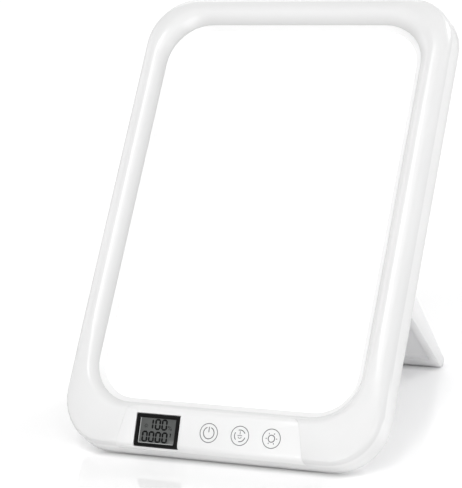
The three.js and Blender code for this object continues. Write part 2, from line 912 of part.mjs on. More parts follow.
// The heel's side view, from the base up to where the stand's taper ends
function heelProfile(inset) {
  const front = seamDepth + fitGap - inset;
  const low = baseHeight(front) + inset / Math.cos(lean);
  const back = heelDepth(heelTopHeight) - inset;
  return [
    [front, low],
    [back, baseHeight(back) + inset / Math.cos(lean)],
    [back, heelTopHeight],
    [rearDepth - inset, pivotHeight - taperStart],
    [front, pivotHeight - taperStart],
  ];
}

// The housing's lower face is the stand's stop: a clearance above the open stand's back face
const stopRise = (hingeRadius + stopGap - hingeRadius * Math.cos(openAngle)) / Math.sin(openAngle);
const housingBottom = pivotHeight + stopRise;
const housingTop = housingBottom + housingHeight;

function housingBlock(inset, back) {
  const half = standWidth / 2 - inset;
  const low = inset > 0 ? housingBottom + inset : pivotHeight;
  const top = housingTop - inset;
  const r = housingCornerRadius - inset;
  const shape = new THREE.Shape();
  shape.moveTo(-half, low);
  shape.lineTo(half, low);
  shape.lineTo(half, top - r);
  shape.absarc(half - r, top - r, r, 0, Math.PI / 2, false);
  shape.lineTo(r - half, top);
  shape.absarc(r - half, top - r, r, Math.PI / 2, Math.PI, false);
  shape.closePath();
  const front = seamDepth + fitGap - inset;
  const block = frontPrism(shape, front, back, inset > 0 ? 0 : housingEdgeBevel);
  return block.subtract(box(-bodyWidth, bodyWidth, 0, bodyWidth, 0, housingBottom));
}

// The room that the open stand takes under the housing, with the stop's clearance
function openStandRoom() {
  const corners = [
    [-hingeRadius, 0],
    [hingeRadius + stopGap, 0],
    [hingeRadius + stopGap, -footReach],
    [-hingeRadius, -footReach],
  ];
  const points = corners.map(([y, z]) => {
    const turned = rotated(y, z, openAngle);
    return [pivotDepth + turned.y, pivotHeight + turned.z];
  });
  return sidePrism(points.reverse(), -bodyWidth, bodyWidth);
}

// A lug that carries a hinge pin, rounded about the pivot
function hingeEar(centre) {
  const xMin = centre - earWidth / 2;
  const xMax = centre + earWidth / 2;
  const barrel = crossCylinder(pivotDepth, pivotHeight, hingeRadius - earGap, xMin, xMax);
  const web = box(
    xMin,
    xMax,
    rearDepth - rearEdgeRadius / 2,
    pivotDepth + (hingeRadius - earGap) * Math.cos(openAngle),
    pivotHeight,
    housingBottom + overrun,
  );
  return barrel.add(web);
}

function ventSlots() {
  const slots = [];
  for (let i = 0; i < ventCount; i += 1) {
    const x = (i - (ventCount - 1) / 2) * ventPitch;
    const z = housingBottom + ventCentreHeight;
    const shape = roundedShape(
      x - ventWidth / 2,
      x + ventWidth / 2,
      z - ventHeight / 2,
      z + ventHeight / 2,
      ventCornerRadius,
    );
    slots.push(frontPrism(shape, housingDepth - housingWall - overrun, housingDepth + overrun));
  }
  return slots;
}

const mainBoardBottom = housingBottom + mainBoardRise;
const mainBoardMiddle = mainBoardBottom + mainBoardHeight / 2;

function boardHolePlaces() {
  const halfWidth = mainBoardWidth / 2 - boardHoleInset;
  const halfHeight = mainBoardHeight / 2 - boardHoleInset;
  return [
    [-halfWidth, mainBoardMiddle - halfHeight],
    [halfWidth, mainBoardMiddle - halfHeight],
    [-halfWidth, mainBoardMiddle + halfHeight],
    [halfWidth, mainBoardMiddle + halfHeight],
  ];
}

function jackPlace() {
  return [jackOffset, mainBoardBottom + jackRise];
}

// Pillars stand at their share of the height, or just below the strip leads where they would meet them
function pillarPlaces() {
  const underLead = mainBoardMiddle - leadSlotHeight / 2 - pillarRadius - pillarLeadGap;
  const overLead = mainBoardMiddle + leadSlotHeight / 2 + pillarRadius + pillarLeadGap;
  return pillarPlaceShares.map(([xShare, zShare]) => {
    const z = zShare * bodyHeight;
    const meets = z > underLead && z < overLead;
    return [xShare * bodyWidth, meets ? underLead : z];
  });
}

function rearCover() {
  let cover = plus(
    coverLid(),
    coverRim(),
    sidePrism(heelProfile(0), -heelWidth / 2, heelWidth / 2),
    housingBlock(0, housingDepth),
  );
  for (const [x, z] of screwPlaces) {
    cover = cover.add(depthCylinder(x, z, cupRadius, cupDepth, rearDepth - rearEdgeRadius / 2));
  }
  for (const [x, z] of pillarPlaces()) {
    const front = trayFloor + trayWall + fitGap;
    cover = cover.add(depthCylinder(x, z, pillarRadius, front, seamDepth + fitGap * 2));
  }
  cover = minus(
    cover,
    housingBlock(housingWall, housingDepth - housingWall),
    sidePrism(heelProfile(heelWall), -heelWidth / 2 + heelWall, heelWidth / 2 - heelWall),
    crossCylinder(pivotDepth, pivotHeight, hingeRadius + coveGap, -bodyWidth, bodyWidth),
    openStandRoom(),
    ...ventSlots(),
  );
  cover = plus(cover, hingeEar(-earCentre), hingeEar(earCentre));
  for (const [x, z] of boardHolePlaces()) {
    const back = housingDepth - housingWall / 2;
    const post = depthCylinder(x, z, postRadius, mainBoardDepth + boardThickness + fitGap, back);
    const holeBack = mainBoardDepth + boardThickness + boardScrewReach + fitGap;
    const hole = depthCylinder(x, z, boardScrewRadius + fitGap, mainBoardDepth, holeBack);
    cover = cover.add(post).subtract(hole);
  }
  for (const [x, z] of screwPlaces) {
    const shank = depthCylinder(x, z, screwShankRadius + fitGap, cupDepth - overrun, rearDepth + overrun);
    const counterbore = depthCylinder(
      x,
      z,
      screwHeadRadius + fitGap,
      rearDepth - counterboreDepth,
      rearDepth + overrun,
    );
    cover = minus(cover, shank, counterbore);
  }
  const [jackX, jackZ] = jackPlace();
  const jackFront = housingDepth - housingWall - overrun;
  const jackHole = depthCylinder(jackX, jackZ, jackNoseRadius + fitGap, jackFront, housingDepth + overrun);
  const pinHole = crossCylinder(pivotDepth, pivotHeight, pinRadius + fitGap, -bodyWidth, bodyWidth);
  cover = minus(cover, jackHole, pinHole, belowBase(0));
  for (const side of [-1, 1]) cover = cover.subtract(solePocket(side));
  return cover;
}

// Shallow pocket in the base for a rubber foot
function solePocket(side) {
  return baseSole(side, -footSunk, overrun, fitGap);
}

// A flat block on the plane of the base, between two heights out of it
function baseSole(side, from, to, growth) {
  const along = [Math.cos(lean), Math.sin(lean)];
  const down = [Math.sin(lean), -Math.cos(lean)];
  const middle = (baseFootDepth - baseDepth) / Math.cos(lean);
  const half = baseFootWidth / 2 + growth;
  const at = (s, t) => [
    baseDepth + along[0] * (middle + s) + down[0] * t,
    along[1] * (middle + s) + down[1] * t,
  ];
  const points = [at(-half, from), at(-half, to), at(half, to), at(half, from)];
  const x = side * baseFootCentre;
  return sidePrism(points, x - baseFootLength / 2 - growth, x + baseFootLength / 2 + growth);
}

function baseFoot(side) {
  return baseSole(side, fitGap - footSunk, footProud, 0);
}

// A pan head screw with a cross slot, sunk in its cup and driven from behind
function coverScrew([x, z]) {
  const seat = rearDepth - counterboreDepth + fitGap;
  const head = seat + screwHeadHeight;
  const body = depthLathe(x, z, [
    [0, seat - screwLength],
    [screwShankRadius, seat - screwLength],
    [screwShankRadius, seat],
    [screwHeadRadius, seat],
    [screwHeadRadius, head - screwSlotDepth],
    [screwHeadRadius - screwSlotWidth / 2, head],
    [0, head],
  ]);
  const arm = screwHeadRadius - screwSlotWidth;
  const half = screwSlotWidth / 2;
  const slotBack = head + overrun;
  const slotFront = head - screwSlotDepth;
  return minus(
    body,
    box(x - arm, x + arm, slotFront, slotBack, z - half, z + half),
    box(x - half, x + half, slotFront, slotBack, z - arm, z + arm),
  );
}

// Side view of the stand, hanging from its pivot as when folded: a round hinge end, two tapering
// faces and a sole that meets the table when the stand is open
function standProfile() {
  const points = [];
  for (let i = 0; i <= hingeRoundSteps; i += 1) {
    const angle = (i / hingeRoundSteps) * Math.PI;
    points.push([hingeRadius * Math.cos(angle), hingeRadius * Math.sin(angle)]);
  }
  points.push([-hingeRadius, -taperStart], [soleFront.y, soleFront.z]);
  points.push([2 * footOffset - soleFront.y, -2 * footReach - soleFront.z]);
  points.push([tipBack, -tipBackReach], [hingeRadius, -taperStart]);
  return points;
}

// The stand's front view has small rounded lower corners
function standOutline() {
  const half = standWidth / 2;
  const low = -2 * footReach - soleFront.z - standCornerRadius / 4;
  return roundedShape(-half, half, low, hingeRadius * 2, standCornerRadius);
}

// Shallow bays sunk in the stand's inner face, with ribs left standing between them
function standBays() {
  const top = -hingeRadius - standBorder;
  const bottom = -footReach + standBorder * 2;
  const floorAt = (z) => {
    const taper = Math.max(0, -z - taperStart) * standTaper;
    return -hingeRadius + taper + standRecess;
  };
  const points = [
    [-hingeRadius - overrun, bottom],
    [floorAt(bottom), bottom],
    [floorAt(-taperStart), -taperStart],
    [floorAt(top), top],
    [-hingeRadius - overrun, top],
  ];
  const pitch = (standWidth - 2 * standBorder + standRibWidth) / (standRibCount + 1);
  const bays = [];
  for (let i = 0; i <= standRibCount; i += 1) {
    const xMin = standBorder - standWidth / 2 + i * pitch;
    bays.push(sidePrism(points, xMin, xMin + pitch - standRibWidth));
  }
  return bays;
}

function standPlate() {
  const half = standWidth / 2;
  const reach = hingeRadius + foldGap;
  let stand = sidePrism(standProfile(), -half, half);
  stand = stand.intersect(frontPrism(standOutline(), -bodyWidth, bodyWidth));
  stand = minus(stand, ...standBays());
  for (const side of [-1, 1]) {
    const notchHalf = earWidth / 2 + washerThickness + fitGap * 2;
    const x = side * earCentre;
    stand = stand.subtract(box(x - notchHalf, x + notchHalf, -bodyWidth, bodyWidth, -reach, reach));
    stand = stand.subtract(crossCylinder(0, 0, pinRadius + fitGap, x - pinReach(), x + pinReach()));
    stand = stand.subtract(standSole(side, -footSunk, overrun, fitGap));
  }
  return stand;
}

function pinReach() {
  return earWidth / 2 + pinOverhang;
}

// A flat block on the stand's sole, between two heights out of it
function standSole(side, from, to, growth) {
  const along = [Math.cos(soleAngle), -Math.sin(soleAngle)];
  const down = [-Math.sin(soleAngle), -Math.cos(soleAngle)];
  const half = standFootWidth / 2 + growth;
  const at = (s, t) => [
    footOffset + along[0] * s + down[0] * t,
    -footReach + along[1] * s + down[1] * t,
  ];
  const points = [at(-half, from), at(-half, to), at(half, to), at(half, from)];
  const x = side * standFootCentre;
  const reach = standFootLength / 2 + growth;
  return sidePrism(points.reverse(), x - reach, x + reach);
}

function standFoot(side) {
  return standSole(side, fitGap - footSunk, footProud, 0);
}

function hingePin(side) {
  const x = side * earCentre;
  const reach = pinReach() - fitGap;
  return crossCylinder(pivotDepth, pivotHeight, pinRadius, x - reach, x + reach);
}

// A friction washer on the pin, between the lug and the stand
function frictionWasher(side, face) {
  const start = side * earCentre + face * (earWidth / 2 + fitGap);
  const end = start + face * washerThickness;
  const xMin = Math.min(start, end);
  const xMax = Math.max(start, end);
  const disc = crossCylinder(pivotDepth, pivotHeight, washerRadius, xMin, xMax);
  const hole = crossCylinder(
    pivotDepth,
    pivotHeight,
    pinRadius + fitGap,
    xMin - washerThickness,
    xMax + washerThickness,
  );
  return disc.subtract(hole);
}

function mainBoard() {
  const half = mainBoardWidth / 2;
  const back = mainBoardDepth + boardThickness;
  let board = box(-half, half, mainBoardDepth, back, mainBoardBottom, mainBoardBottom + mainBoardHeight);
  for (const [x, z] of boardHolePlaces()) {
    board = board.subtract(depthCylinder(x, z, boardHoleRadius, mainBoardDepth - overrun, back + overrun));
  }
  return board;
}

function mainBoardScrew([x, z]) {
  const seat = mainBoardDepth - fitGap;
  const tip = mainBoardDepth + boardThickness + boardScrewReach;
  return depthLathe(x, z, [
    [0, seat - boardScrewHeadHeight],
    [boardScrewHead, seat - boardScrewHeadHeight],
    [boardScrewHead, seat],
    [boardScrewRadius, seat],
    [boardScrewRadius, tip],
    [0, tip],
  ]);
}

// Where a component stands, as shares of the main board from its middle
function onMainBoard([acrossShare, upShare]) {
  return [acrossShare * mainBoardWidth, mainBoardMiddle + upShare * mainBoardHeight];
}

function driverCoil() {
  const [x, z] = onMainBoard(coilPlaceShares);
  const front = mainBoardDepth + boardThickness + fitGap;
  const back = front + coilHeight;
  return depthLathe(x, z, [
    [0, front],
    [coilRadius, front],
    [coilRadius, front + coilFlange],
    [coilWaist, front + coilFlange],
    [coilWaist, back - coilFlange],
    [coilRadius, back - coilFlange],
    [coilRadius, back],
    [0, back],
  ]);
}

function filterCapacitor() {
  const [x, z] = onMainBoard(capacitorPlaceShares);
  const front = mainBoardDepth + boardThickness + fitGap;
  return depthCylinder(x, z, capacitorRadius, front, front + capacitorHeight);
}

function driverChip() {
  const [x, z] = onMainBoard(chipPlaceShares);
  const front = mainBoardDepth + boardThickness + fitGap;
  const half = driverChipSize / 2;
  return box(x - half, x + half, front, front + driverChipHeight, z - half, z + half);
}

// Power socket on the main board, its nose in the housing wall, with a pin in its bore
function powerSocket() {
  const [x, z] = jackPlace();
  const front = mainBoardDepth + boardThickness + fitGap;
  const shoulder = housingDepth - housingWall - fitGap;
  const face = housingDepth - fitGap;
  const half = jackSize / 2;
  const body = box(x - half, x + half, front, shoulder, z - half, z + half);
  const nose = depthCylinder(x, z, jackNoseRadius, shoulder - jackNoseRadius / 2, face);
  const bore = depthCylinder(x, z, jackBoreRadius, face - jackBoreDepth, face + overrun);
  const pin = depthCylinder(x, z, jackPinRadius, face - jackBoreDepth - jackPinSunk, face - jackPinSunk);
  return body.add(nose).subtract(bore).add(pin);
}

// Flat cable from the main board, down behind the tray to the control board
function controlRibbon() {
  const boardBack = rotated(controlBoardDepth + boardThickness + fitGap, controlBoardRise, barSlope);
  const low = [controlDepth + boardBack.y, displayCentreHeight + boardBack.z];
  const half = ribbonThickness / 2;
  const top = mainBoardBottom + ribbonWidth / 2;
  const points = [
    [low[0], low[1] - half],
    [ribbonDepth + half, low[1] - half],
    [ribbonDepth + half, top - half],
    [mainBoardDepth - fitGap, top - half],
    [mainBoardDepth - fitGap, top + half],
    [ribbonDepth - half, top + half],
    [ribbonDepth - half, low[1] + half],
    [low[0], low[1] + half],
  ];
  return sidePrism(points, ribbonOffset - ribbonWidth / 2, ribbonOffset + ribbonWidth / 2);
}

function meshOf(name, solid, finish) {
  const mesh = new THREE.Mesh(toGeometry(solid), new THREE.MeshStandardMaterial(finish));
  mesh.name = name;
  return mesh;
}

// The scene: the panel's pieces and the stand's, which turns on its own group at the pivot
const panel = new THREE.Group();
const stand = new THREE.Group();
const opal = { color: 0xfdfdfb, roughness: 0.4, metalness: 0 };
const acrylic = { color: 0xf2f6f8, roughness: 0.1, metalness: 0 };
const black = { color: 0x141416, roughness: 0.4, metalness: 0 };
const sleeve = { color: 0x2b2d31, roughness: 0.6, metalness: 0 };
const sides = [['left', -1], ['right', 1]];

panel.add(meshOf('front_frame', frontFrame(), white));
panel.add(meshOf('control_insert', controlInsert(), white));
panel.add(meshOf('display_frame', displayFrame(), black));
panel.add(meshOf('display_glass', displayGlass(), { color: 0x6f7173, roughness: 0.15, metalness: 0 }));
panel.add(meshOf('display_backlight', displayBacklight(), opal));
panel.add(meshOf('control_board', controlBoard(), boardGreen));
for (let i = 0; i < keyCount; i += 1) panel.add(meshOf(`key_pad_${i + 1}`, keyPad(i), rubber));
for (const [name, side] of sides) {
  panel.add(meshOf(`control_board_screw_${name}`, controlBoardScrew(side), steel));
}
panel.add(meshOf('diffuser_plate', diffuserPlate(), opal));
panel.add(meshOf('light_guide', lightGuide(), acrylic));
panel.add(meshOf('reflector_sheet', reflectorSheet(), opal));
for (const [name, side] of sides) {
  panel.add(meshOf(`lamp_strip_${name}`, lampStrip(side), { color: 0xe9e6d8, roughness: 0.5, metalness: 0 }));
  panel.add(meshOf(`strip_lead_${name}`, stripLead(side), { color: 0xd8d8d2, roughness: 0.6, metalness: 0 }));
}
panel.add(meshOf('back_tray', backTray(), steel));
panel.add(meshOf('main_board', mainBoard(), boardGreen));
boardHolePlaces().forEach((place, i) => {
  panel.add(meshOf(`main_board_screw_${i + 1}`, mainBoardScrew(place), steel));
});
panel.add(meshOf('driver_coil', driverCoil(), { color: 0x3a3a3c, roughness: 0.5, metalness: 0 }));
panel.add(meshOf('filter_capacitor', filterCapacitor(), sleeve));
panel.add(meshOf('driver_chip', driverChip(), black));
panel.add(meshOf('power_socket', powerSocket(), black));
panel.add(meshOf('control_ribbon', controlRibbon(), { color: 0xe4e4e0, roughness: 0.5, metalness: 0 }));
panel.add(meshOf('rear_cover', rearCover(), white));
screwPlaces.forEach((place, i) => panel.add(meshOf(`cover_screw_${i + 1}`, coverScrew(place), steel)));
for (const [name, side] of sides) {
  panel.add(meshOf(`hinge_pin_${name}`, hingePin(side), steel));
  panel.add(meshOf(`friction_washer_${name}_inner`, frictionWasher(side, -side), steel));
  panel.add(meshOf(`friction_washer_${name}_outer`, frictionWasher(side, side), steel));
  panel.add(meshOf(`base_foot_${name}`, baseFoot(side), rubber));
  stand.add(meshOf(`stand_foot_${name}`, standFoot(side), rubber));
}
stand.add(meshOf('stand_plate', standPlate(), white));
stand.position.set(0, pivotDepth, pivotHeight);
stand.rotation.x = openAngle;
panel.add(stand);
panel.rotation.x = -lean;

// The lamp stands on its soles, with the origin under the middle of its box
const lamp = new THREE.Group();
lamp.add(panel);
lamp.updateMatrixWorld(true);
const bounds = new THREE.Box3().setFromObject(lamp, true);
const centre = bounds.getCenter(new THREE.Vector3());
lamp.position.set(-centre.x, -centre.y, -bounds.min.z);
lamp.updateMatrixWorld(true);

export default lamp;
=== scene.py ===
import bmesh
import bpy
import math
from mathutils import Matrix, Vector


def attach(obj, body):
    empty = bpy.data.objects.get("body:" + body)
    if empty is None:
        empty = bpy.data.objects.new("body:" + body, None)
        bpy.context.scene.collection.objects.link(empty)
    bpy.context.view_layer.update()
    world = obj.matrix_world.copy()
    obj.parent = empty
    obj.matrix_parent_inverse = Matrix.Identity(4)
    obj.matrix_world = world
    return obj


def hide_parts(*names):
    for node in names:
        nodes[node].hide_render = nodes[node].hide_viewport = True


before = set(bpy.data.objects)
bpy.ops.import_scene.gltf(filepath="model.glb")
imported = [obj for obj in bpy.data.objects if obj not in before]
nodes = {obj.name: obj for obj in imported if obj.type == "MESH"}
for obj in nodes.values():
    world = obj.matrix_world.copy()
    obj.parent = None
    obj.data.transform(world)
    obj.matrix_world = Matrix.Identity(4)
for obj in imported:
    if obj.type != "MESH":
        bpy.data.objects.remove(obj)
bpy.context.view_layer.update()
mm = 0.001
print("stage: CAD frame loaded,", len(nodes), "nodes")

# Where the leaned panel stands, and where its sloping control face lies on it
lampPlace = {"leanDegrees": 39.40826, "forward": -87.3276, "lift": 8.85295}
controlPlace = {"depth": -2.003, "height": 9.3, "slopeDegrees": 10.208}

panelToRoom = (
    Matrix.Translation((0, lampPlace["forward"] * mm, lampPlace["lift"] * mm))
    @ Matrix.Rotation(-math.radians(lampPlace["leanDegrees"]), 4, "X")
)
controlToRoom = (
    panelToRoom
    @ Matrix.Translation((0, controlPlace["depth"] * mm, controlPlace["height"] * mm))
    @ Matrix.Rotation(math.radians(controlPlace["slopeDegrees"]), 4, "X")
    @ Matrix.Scale(mm, 4)
)


# Materials: sRGB hex values turned to linear, and one function that adds a node
def linearColour(hexText):
    values = []
    for start in (1, 3, 5):
        level = int(hexText[start:start + 2], 16) / 255
        values.append(level / 12.92 if level <= 0.04045 else ((level + 0.055) / 1.055) ** 2.4)
    return (*values, 1)


def addNode(tree, kind, inputs=None, **settings):
    node = tree.nodes.new(kind)
    for name, value in settings.items():
        setattr(node, name, value)
    for socket, value in (inputs or {}).items():
        if isinstance(value, bpy.types.NodeSocket):
            tree.links.new(value, node.inputs[socket])
        else:
            node.inputs[socket].default_value = value
    return node


def newSurface(name):
    material = bpy.data.materials.new(name)
    material.use_nodes = True
    tree = material.node_tree
    shader = tree.nodes["Principled BSDF"]
    place = addNode(tree, "ShaderNodeTexCoord").outputs["Object"]
    return material, tree, shader, place


# A colour Mix node's sockets share their names, so they are reached by number
mixShare, mixFirst, mixSecond, mixResult = 0, 6, 7, 2

# A moulded plastic: slow drift of tone from the melt's flow, a grain copied from the mould and a
# gloss that varies with it. The grain is drawn coarser than a real one, to show
mouldedLook = {"flowFrom": 0.35, "flowTo": 0.65, "glossSpread": 0.03, "lightShare": 0.8}


def mouldedPlastic(name, look):
    material, tree, shader, place = newSurface(name)
    flow = addNode(tree, "ShaderNodeTexNoise", {
        "Vector": place, "Scale": 1 / (look["flowMm"] * mm), "Detail": 3.0, "Roughness": 0.5,
    })
    grain = addNode(tree, "ShaderNodeTexNoise", {
        "Vector": place, "Scale": 1 / (look["grainMm"] * mm), "Detail": 4.0, "Roughness": 0.6,
    })
    drift = addNode(tree, "ShaderNodeMapRange", {
        "Value": flow.outputs["Fac"],
        "From Min": mouldedLook["flowFrom"], "From Max": mouldedLook["flowTo"],
    })
    colour = addNode(tree, "ShaderNodeMix", {
        mixShare: drift.outputs["Result"],
        mixFirst: linearColour(look["dark"]), mixSecond: linearColour(look["light"]),
    }, data_type="RGBA").outputs[mixResult]
    # Painted shade: a share kept on the piece mixes the colour towards a grey shade tone
    if "shadeTone" in look:
        shadeMask = addNode(tree, "ShaderNodeAttribute", attribute_name="paintedShade")
        colour = addNode(tree, "ShaderNodeMix", {
            mixShare: shadeMask.outputs["Fac"],
            mixFirst: colour, mixSecond: linearColour(look["shadeTone"]),
        }, data_type="RGBA").outputs[mixResult]
    gloss = addNode(tree, "ShaderNodeMapRange", {
        "Value": grain.outputs["Fac"],
        "To Min": look["roughness"] - mouldedLook["glossSpread"],
        "To Max": look["roughness"] + mouldedLook["glossSpread"],
    })
    bump = addNode(tree, "ShaderNodeBump", {
        "Height": grain.outputs["Fac"],
        "Strength": look["grainStrength"], "Distance": look["grainDeepMm"] * mm,
    })
    tree.links.new(colour, shader.inputs["Base Color"])
    tree.links.new(gloss.outputs["Result"], shader.inputs["Roughness"])
    tree.links.new(bump.outputs["Normal"], shader.inputs["Normal"])
    shader.inputs["IOR"].default_value = look["ior"]
    if "sheenLevel" in look:
        shader.inputs["Specular IOR Level"].default_value = look["sheenLevel"]
    if "lightDeepMm" in look:
        shader.inputs["Subsurface Weight"].default_value = mouldedLook["lightShare"]
        shader.inputs["Subsurface Radius"].default_value = (1, 1, 1)
        shader.inputs["Subsurface Scale"].default_value = look["lightDeepMm"] * mm
    if "glow" in look:
        shader.inputs["Emission Color"].default_value = (1, 1, 1, 1)
        shader.inputs["Emission Strength"].default_value = look["glow"]
    return material


# Semi-gloss ABS from a polished mould: bright and even, with one soft streak along the crown.
# Painted shade greys its colour over the crown, most of all towards the window and the outer edge
glossWhiteAbs = mouldedPlastic("glossWhiteAbs", {
    "light": "#f9f9f9", "dark": "#f6f6f6", "flowMm": 40, "grainMm": 1.6, "grainStrength": 0.06,
    "grainDeepMm": 0.02, "roughness": 0.24, "ior": 1.53, "sheenLevel": 0.5, "shadeTone": "#d5d5d5",
})
# The same ABS where it thins to a lip round the window, with a faint painted glow for light from
# behind
thinLipAbs = mouldedPlastic("thinLipAbs", {
    "light": "#f6f6f6", "dark": "#f3f3f3", "flowMm": 40, "grainMm": 1.6, "grainStrength": 0.06,
    "grainDeepMm": 0.02, "roughness": 0.26, "ior": 1.53, "sheenLevel": 0.45, "glow": 0.05,
})
# The control strip's film-faced ABS: a touch whiter and smoother than the frame round it
filmWhiteAbs = mouldedPlastic("filmWhiteAbs", {
    "light": "#f8f8f8", "dark": "#f7f7f7", "flowMm": 30, "grainMm": 1.2, "grainStrength": 0.04,
    "grainDeepMm": 0.02, "roughness": 0.26, "ior": 1.5,
})
# Spark-eroded satin ABS on the rear cover: a fine even grain that kills the highlights
satinWhiteAbs = mouldedPlastic("satinWhiteAbs", {
    "light": "#f4f4f5", "dark": "#f0f0f1", "flowMm": 35, "grainMm": 0.5, "grainStrength": 0.25,
    "grainDeepMm": 0.03, "roughness": 0.46, "ior": 1.53,
})
# The stand's ABS: the same resin, a slightly cooler white with a soft satin face. Some of the light
# on the plate's outer face comes through to the inner one (further than in real ABS, to show)
standWhiteAbs = mouldedPlastic("standWhiteAbs", {
    "light": "#fafafc", "dark": "#f8f8fa", "flowMm": 45, "grainMm": 0.6, "grainStrength": 0.2,
    "grainDeepMm": 0.025, "roughness": 0.4, "ior": 1.53, "lightDeepMm": 15,
})
# Black ABS of the display's frame, from a polished mould: nearly black, with a weak sheen
glossBlackAbs = mouldedPlastic("glossBlackAbs", {
    "light": "#060606", "dark": "#040404", "flowMm": 12, "grainMm": 0.6, "grainStrength": 0.08,
    "grainDeepMm": 0.01, "roughness": 0.4, "ior": 1.5, "sheenLevel": 0.12,
})
# Black PBT of the power socket: matt, slightly dusty looking
mattBlackPbt = mouldedPlastic("mattBlackPbt", {
    "light": "#232326", "dark": "#1b1b1d", "flowMm": 4, "grainMm": 0.3, "grainStrength": 0.3,
    "grainDeepMm": 0.02, "roughness": 0.55, "ior": 1.57,
})
# Moulded TPE feet: soft grey rubber, dull and a little mottled
greyRubber = mouldedPlastic("greyRubber", {
    "light": "#7f8184", "dark": "#6d6f72", "flowMm": 3, "grainMm": 0.25, "grainStrength": 0.5,
    "grainDeepMm": 0.03, "roughness": 0.82, "ior": 1.5,
})
# White expanded PET reflector: chalky and even
reflectorPet = mouldedPlastic("reflectorPet", {
    "light": "#fafafa", "dark": "#f4f4f4", "flowMm": 20, "grainMm": 0.4, "grainStrength": 0.3,
    "grainDeepMm": 0.01, "roughness": 0.7, "ior": 1.5,
})
# Extruded flat cable sheath: off-white PVC, faintly mottled
cableSheath = mouldedPlastic("cableSheath", {
    "light": "#dedcd4", "dark": "#cfcdc5", "flowMm": 6, "grainMm": 0.5, "grainStrength": 0.3,
    "grainDeepMm": 0.04, "roughness": 0.5, "ior": 1.52,
})
# Sintered ferrite of the coil: dark grey, dry and porous
sinteredFerrite = mouldedPlastic("sinteredFerrite", {
    "light": "#3d3d40", "dark": "#2d2d30", "flowMm": 2, "grainMm": 0.2, "grainStrength": 0.6,
    "grainDeepMm": 0.05, "roughness": 0.72, "ior": 1.6,
})
# Cast PMMA of the light guide: polished, with the faint blue of thick acrylic
clearPmma = mouldedPlastic("clearPmma", {
    "light": "#eef4f7", "dark": "#e6eef2", "flowMm": 30, "grainMm": 1.0, "grainStrength": 0.05,
    "grainDeepMm": 0.01, "roughness": 0.08, "ior": 1.49,
})
# Shrink sleeve round the capacitor: dark blue PET with a soft shine
shrinkSleeve = mouldedPlastic("shrinkSleeve", {
    "light": "#262a3a", "dark": "#1d2130", "flowMm": 5, "grainMm": 0.4, "grainStrength": 0.2,
    "grainDeepMm": 0.02, "roughness": 0.35, "ior": 1.57,
})
# Screen-printed ink on the control strip: flat and dull, a hair above its ground
greyInk = mouldedPlastic("greyInk", {
    "light": "#5a5a5d", "dark": "#505053", "flowMm": 3, "grainMm": 0.15, "grainStrength": 0.3,
    "grainDeepMm": 0.01, "roughness": 0.6, "ior": 1.5,
})
# Liquid crystal segments seen through the glass: nearly black and without any shine of their own
segmentInk = mouldedPlastic("segmentInk", {
    "light": "#0e0f10", "dark": "#090a0a", "flowMm": 2, "grainMm": 0.2, "grainStrength": 0.1,
    "grainDeepMm": 0.01, "roughness": 0.6, "ior": 1.5, "sheenLevel": 0.05,
})
# Cut edge of the display's polarising film, its pale grey a painted highlight along the glass edge
filmEdgeHighlight = mouldedPlastic("filmEdgeHighlight", {
    "light": "#c4c6c5", "dark": "#b4b6b5", "flowMm": 3, "grainMm": 0.2, "grainStrength": 0.2,
    "grainDeepMm": 0.01, "roughness": 0.5, "ior": 1.49,
})


# Opal PMMA lit from behind: a flat white glow, the faintest shade greyer away from the lamp strips
def makeOpalPmma(look):
    material, tree, shader, place = newSurface("litOpalPmma")
    across = addNode(tree, "ShaderNodeSeparateXYZ", {"Vector": place})
    away = addNode(tree, "ShaderNodeMath", {0: across.outputs["X"]}, operation="ABSOLUTE")
    share = addNode(tree, "ShaderNodeMapRange", {
        "Value": away.outputs["Value"], "From Max": look["halfWidthMm"] * mm,
    })
    glow = addNode(tree, "ShaderNodeMix", {
        mixShare: share.outputs["Result"],
        mixFirst: linearColour(look["middle"]), mixSecond: linearColour(look["side"]),
    }, data_type="RGBA").outputs[mixResult]
    frost = addNode(tree, "ShaderNodeTexNoise", {
        "Vector": place, "Scale": 1 / (look["frostMm"] * mm), "Detail": 3.0,
    })
    bump = addNode(tree, "ShaderNodeBump", {
        "Height": frost.outputs["Fac"],
        "Strength": look["frostStrength"], "Distance": look["frostDeepMm"] * mm,
    })
    tree.links.new(glow, shader.inputs["Base Color"])
    tree.links.new(glow, shader.inputs["Emission Color"])
    tree.links.new(bump.outputs["Normal"], shader.inputs["Normal"])
    shader.inputs["Emission Strength"].default_value = look["glow"]
    shader.inputs["Roughness"].default_value = look["roughness"]
    shader.inputs["IOR"].default_value = look["ior"]
    return material


litOpalPmma = makeOpalPmma({
    "middle": "#fcfcfc", "side": "#ffffff", "halfWidthMm": 74, "glow": 0.3,
    "frostMm": 0.4, "frostStrength": 0.15, "frostDeepMm": 0.02, "roughness": 0.4, "ior": 1.49,
})


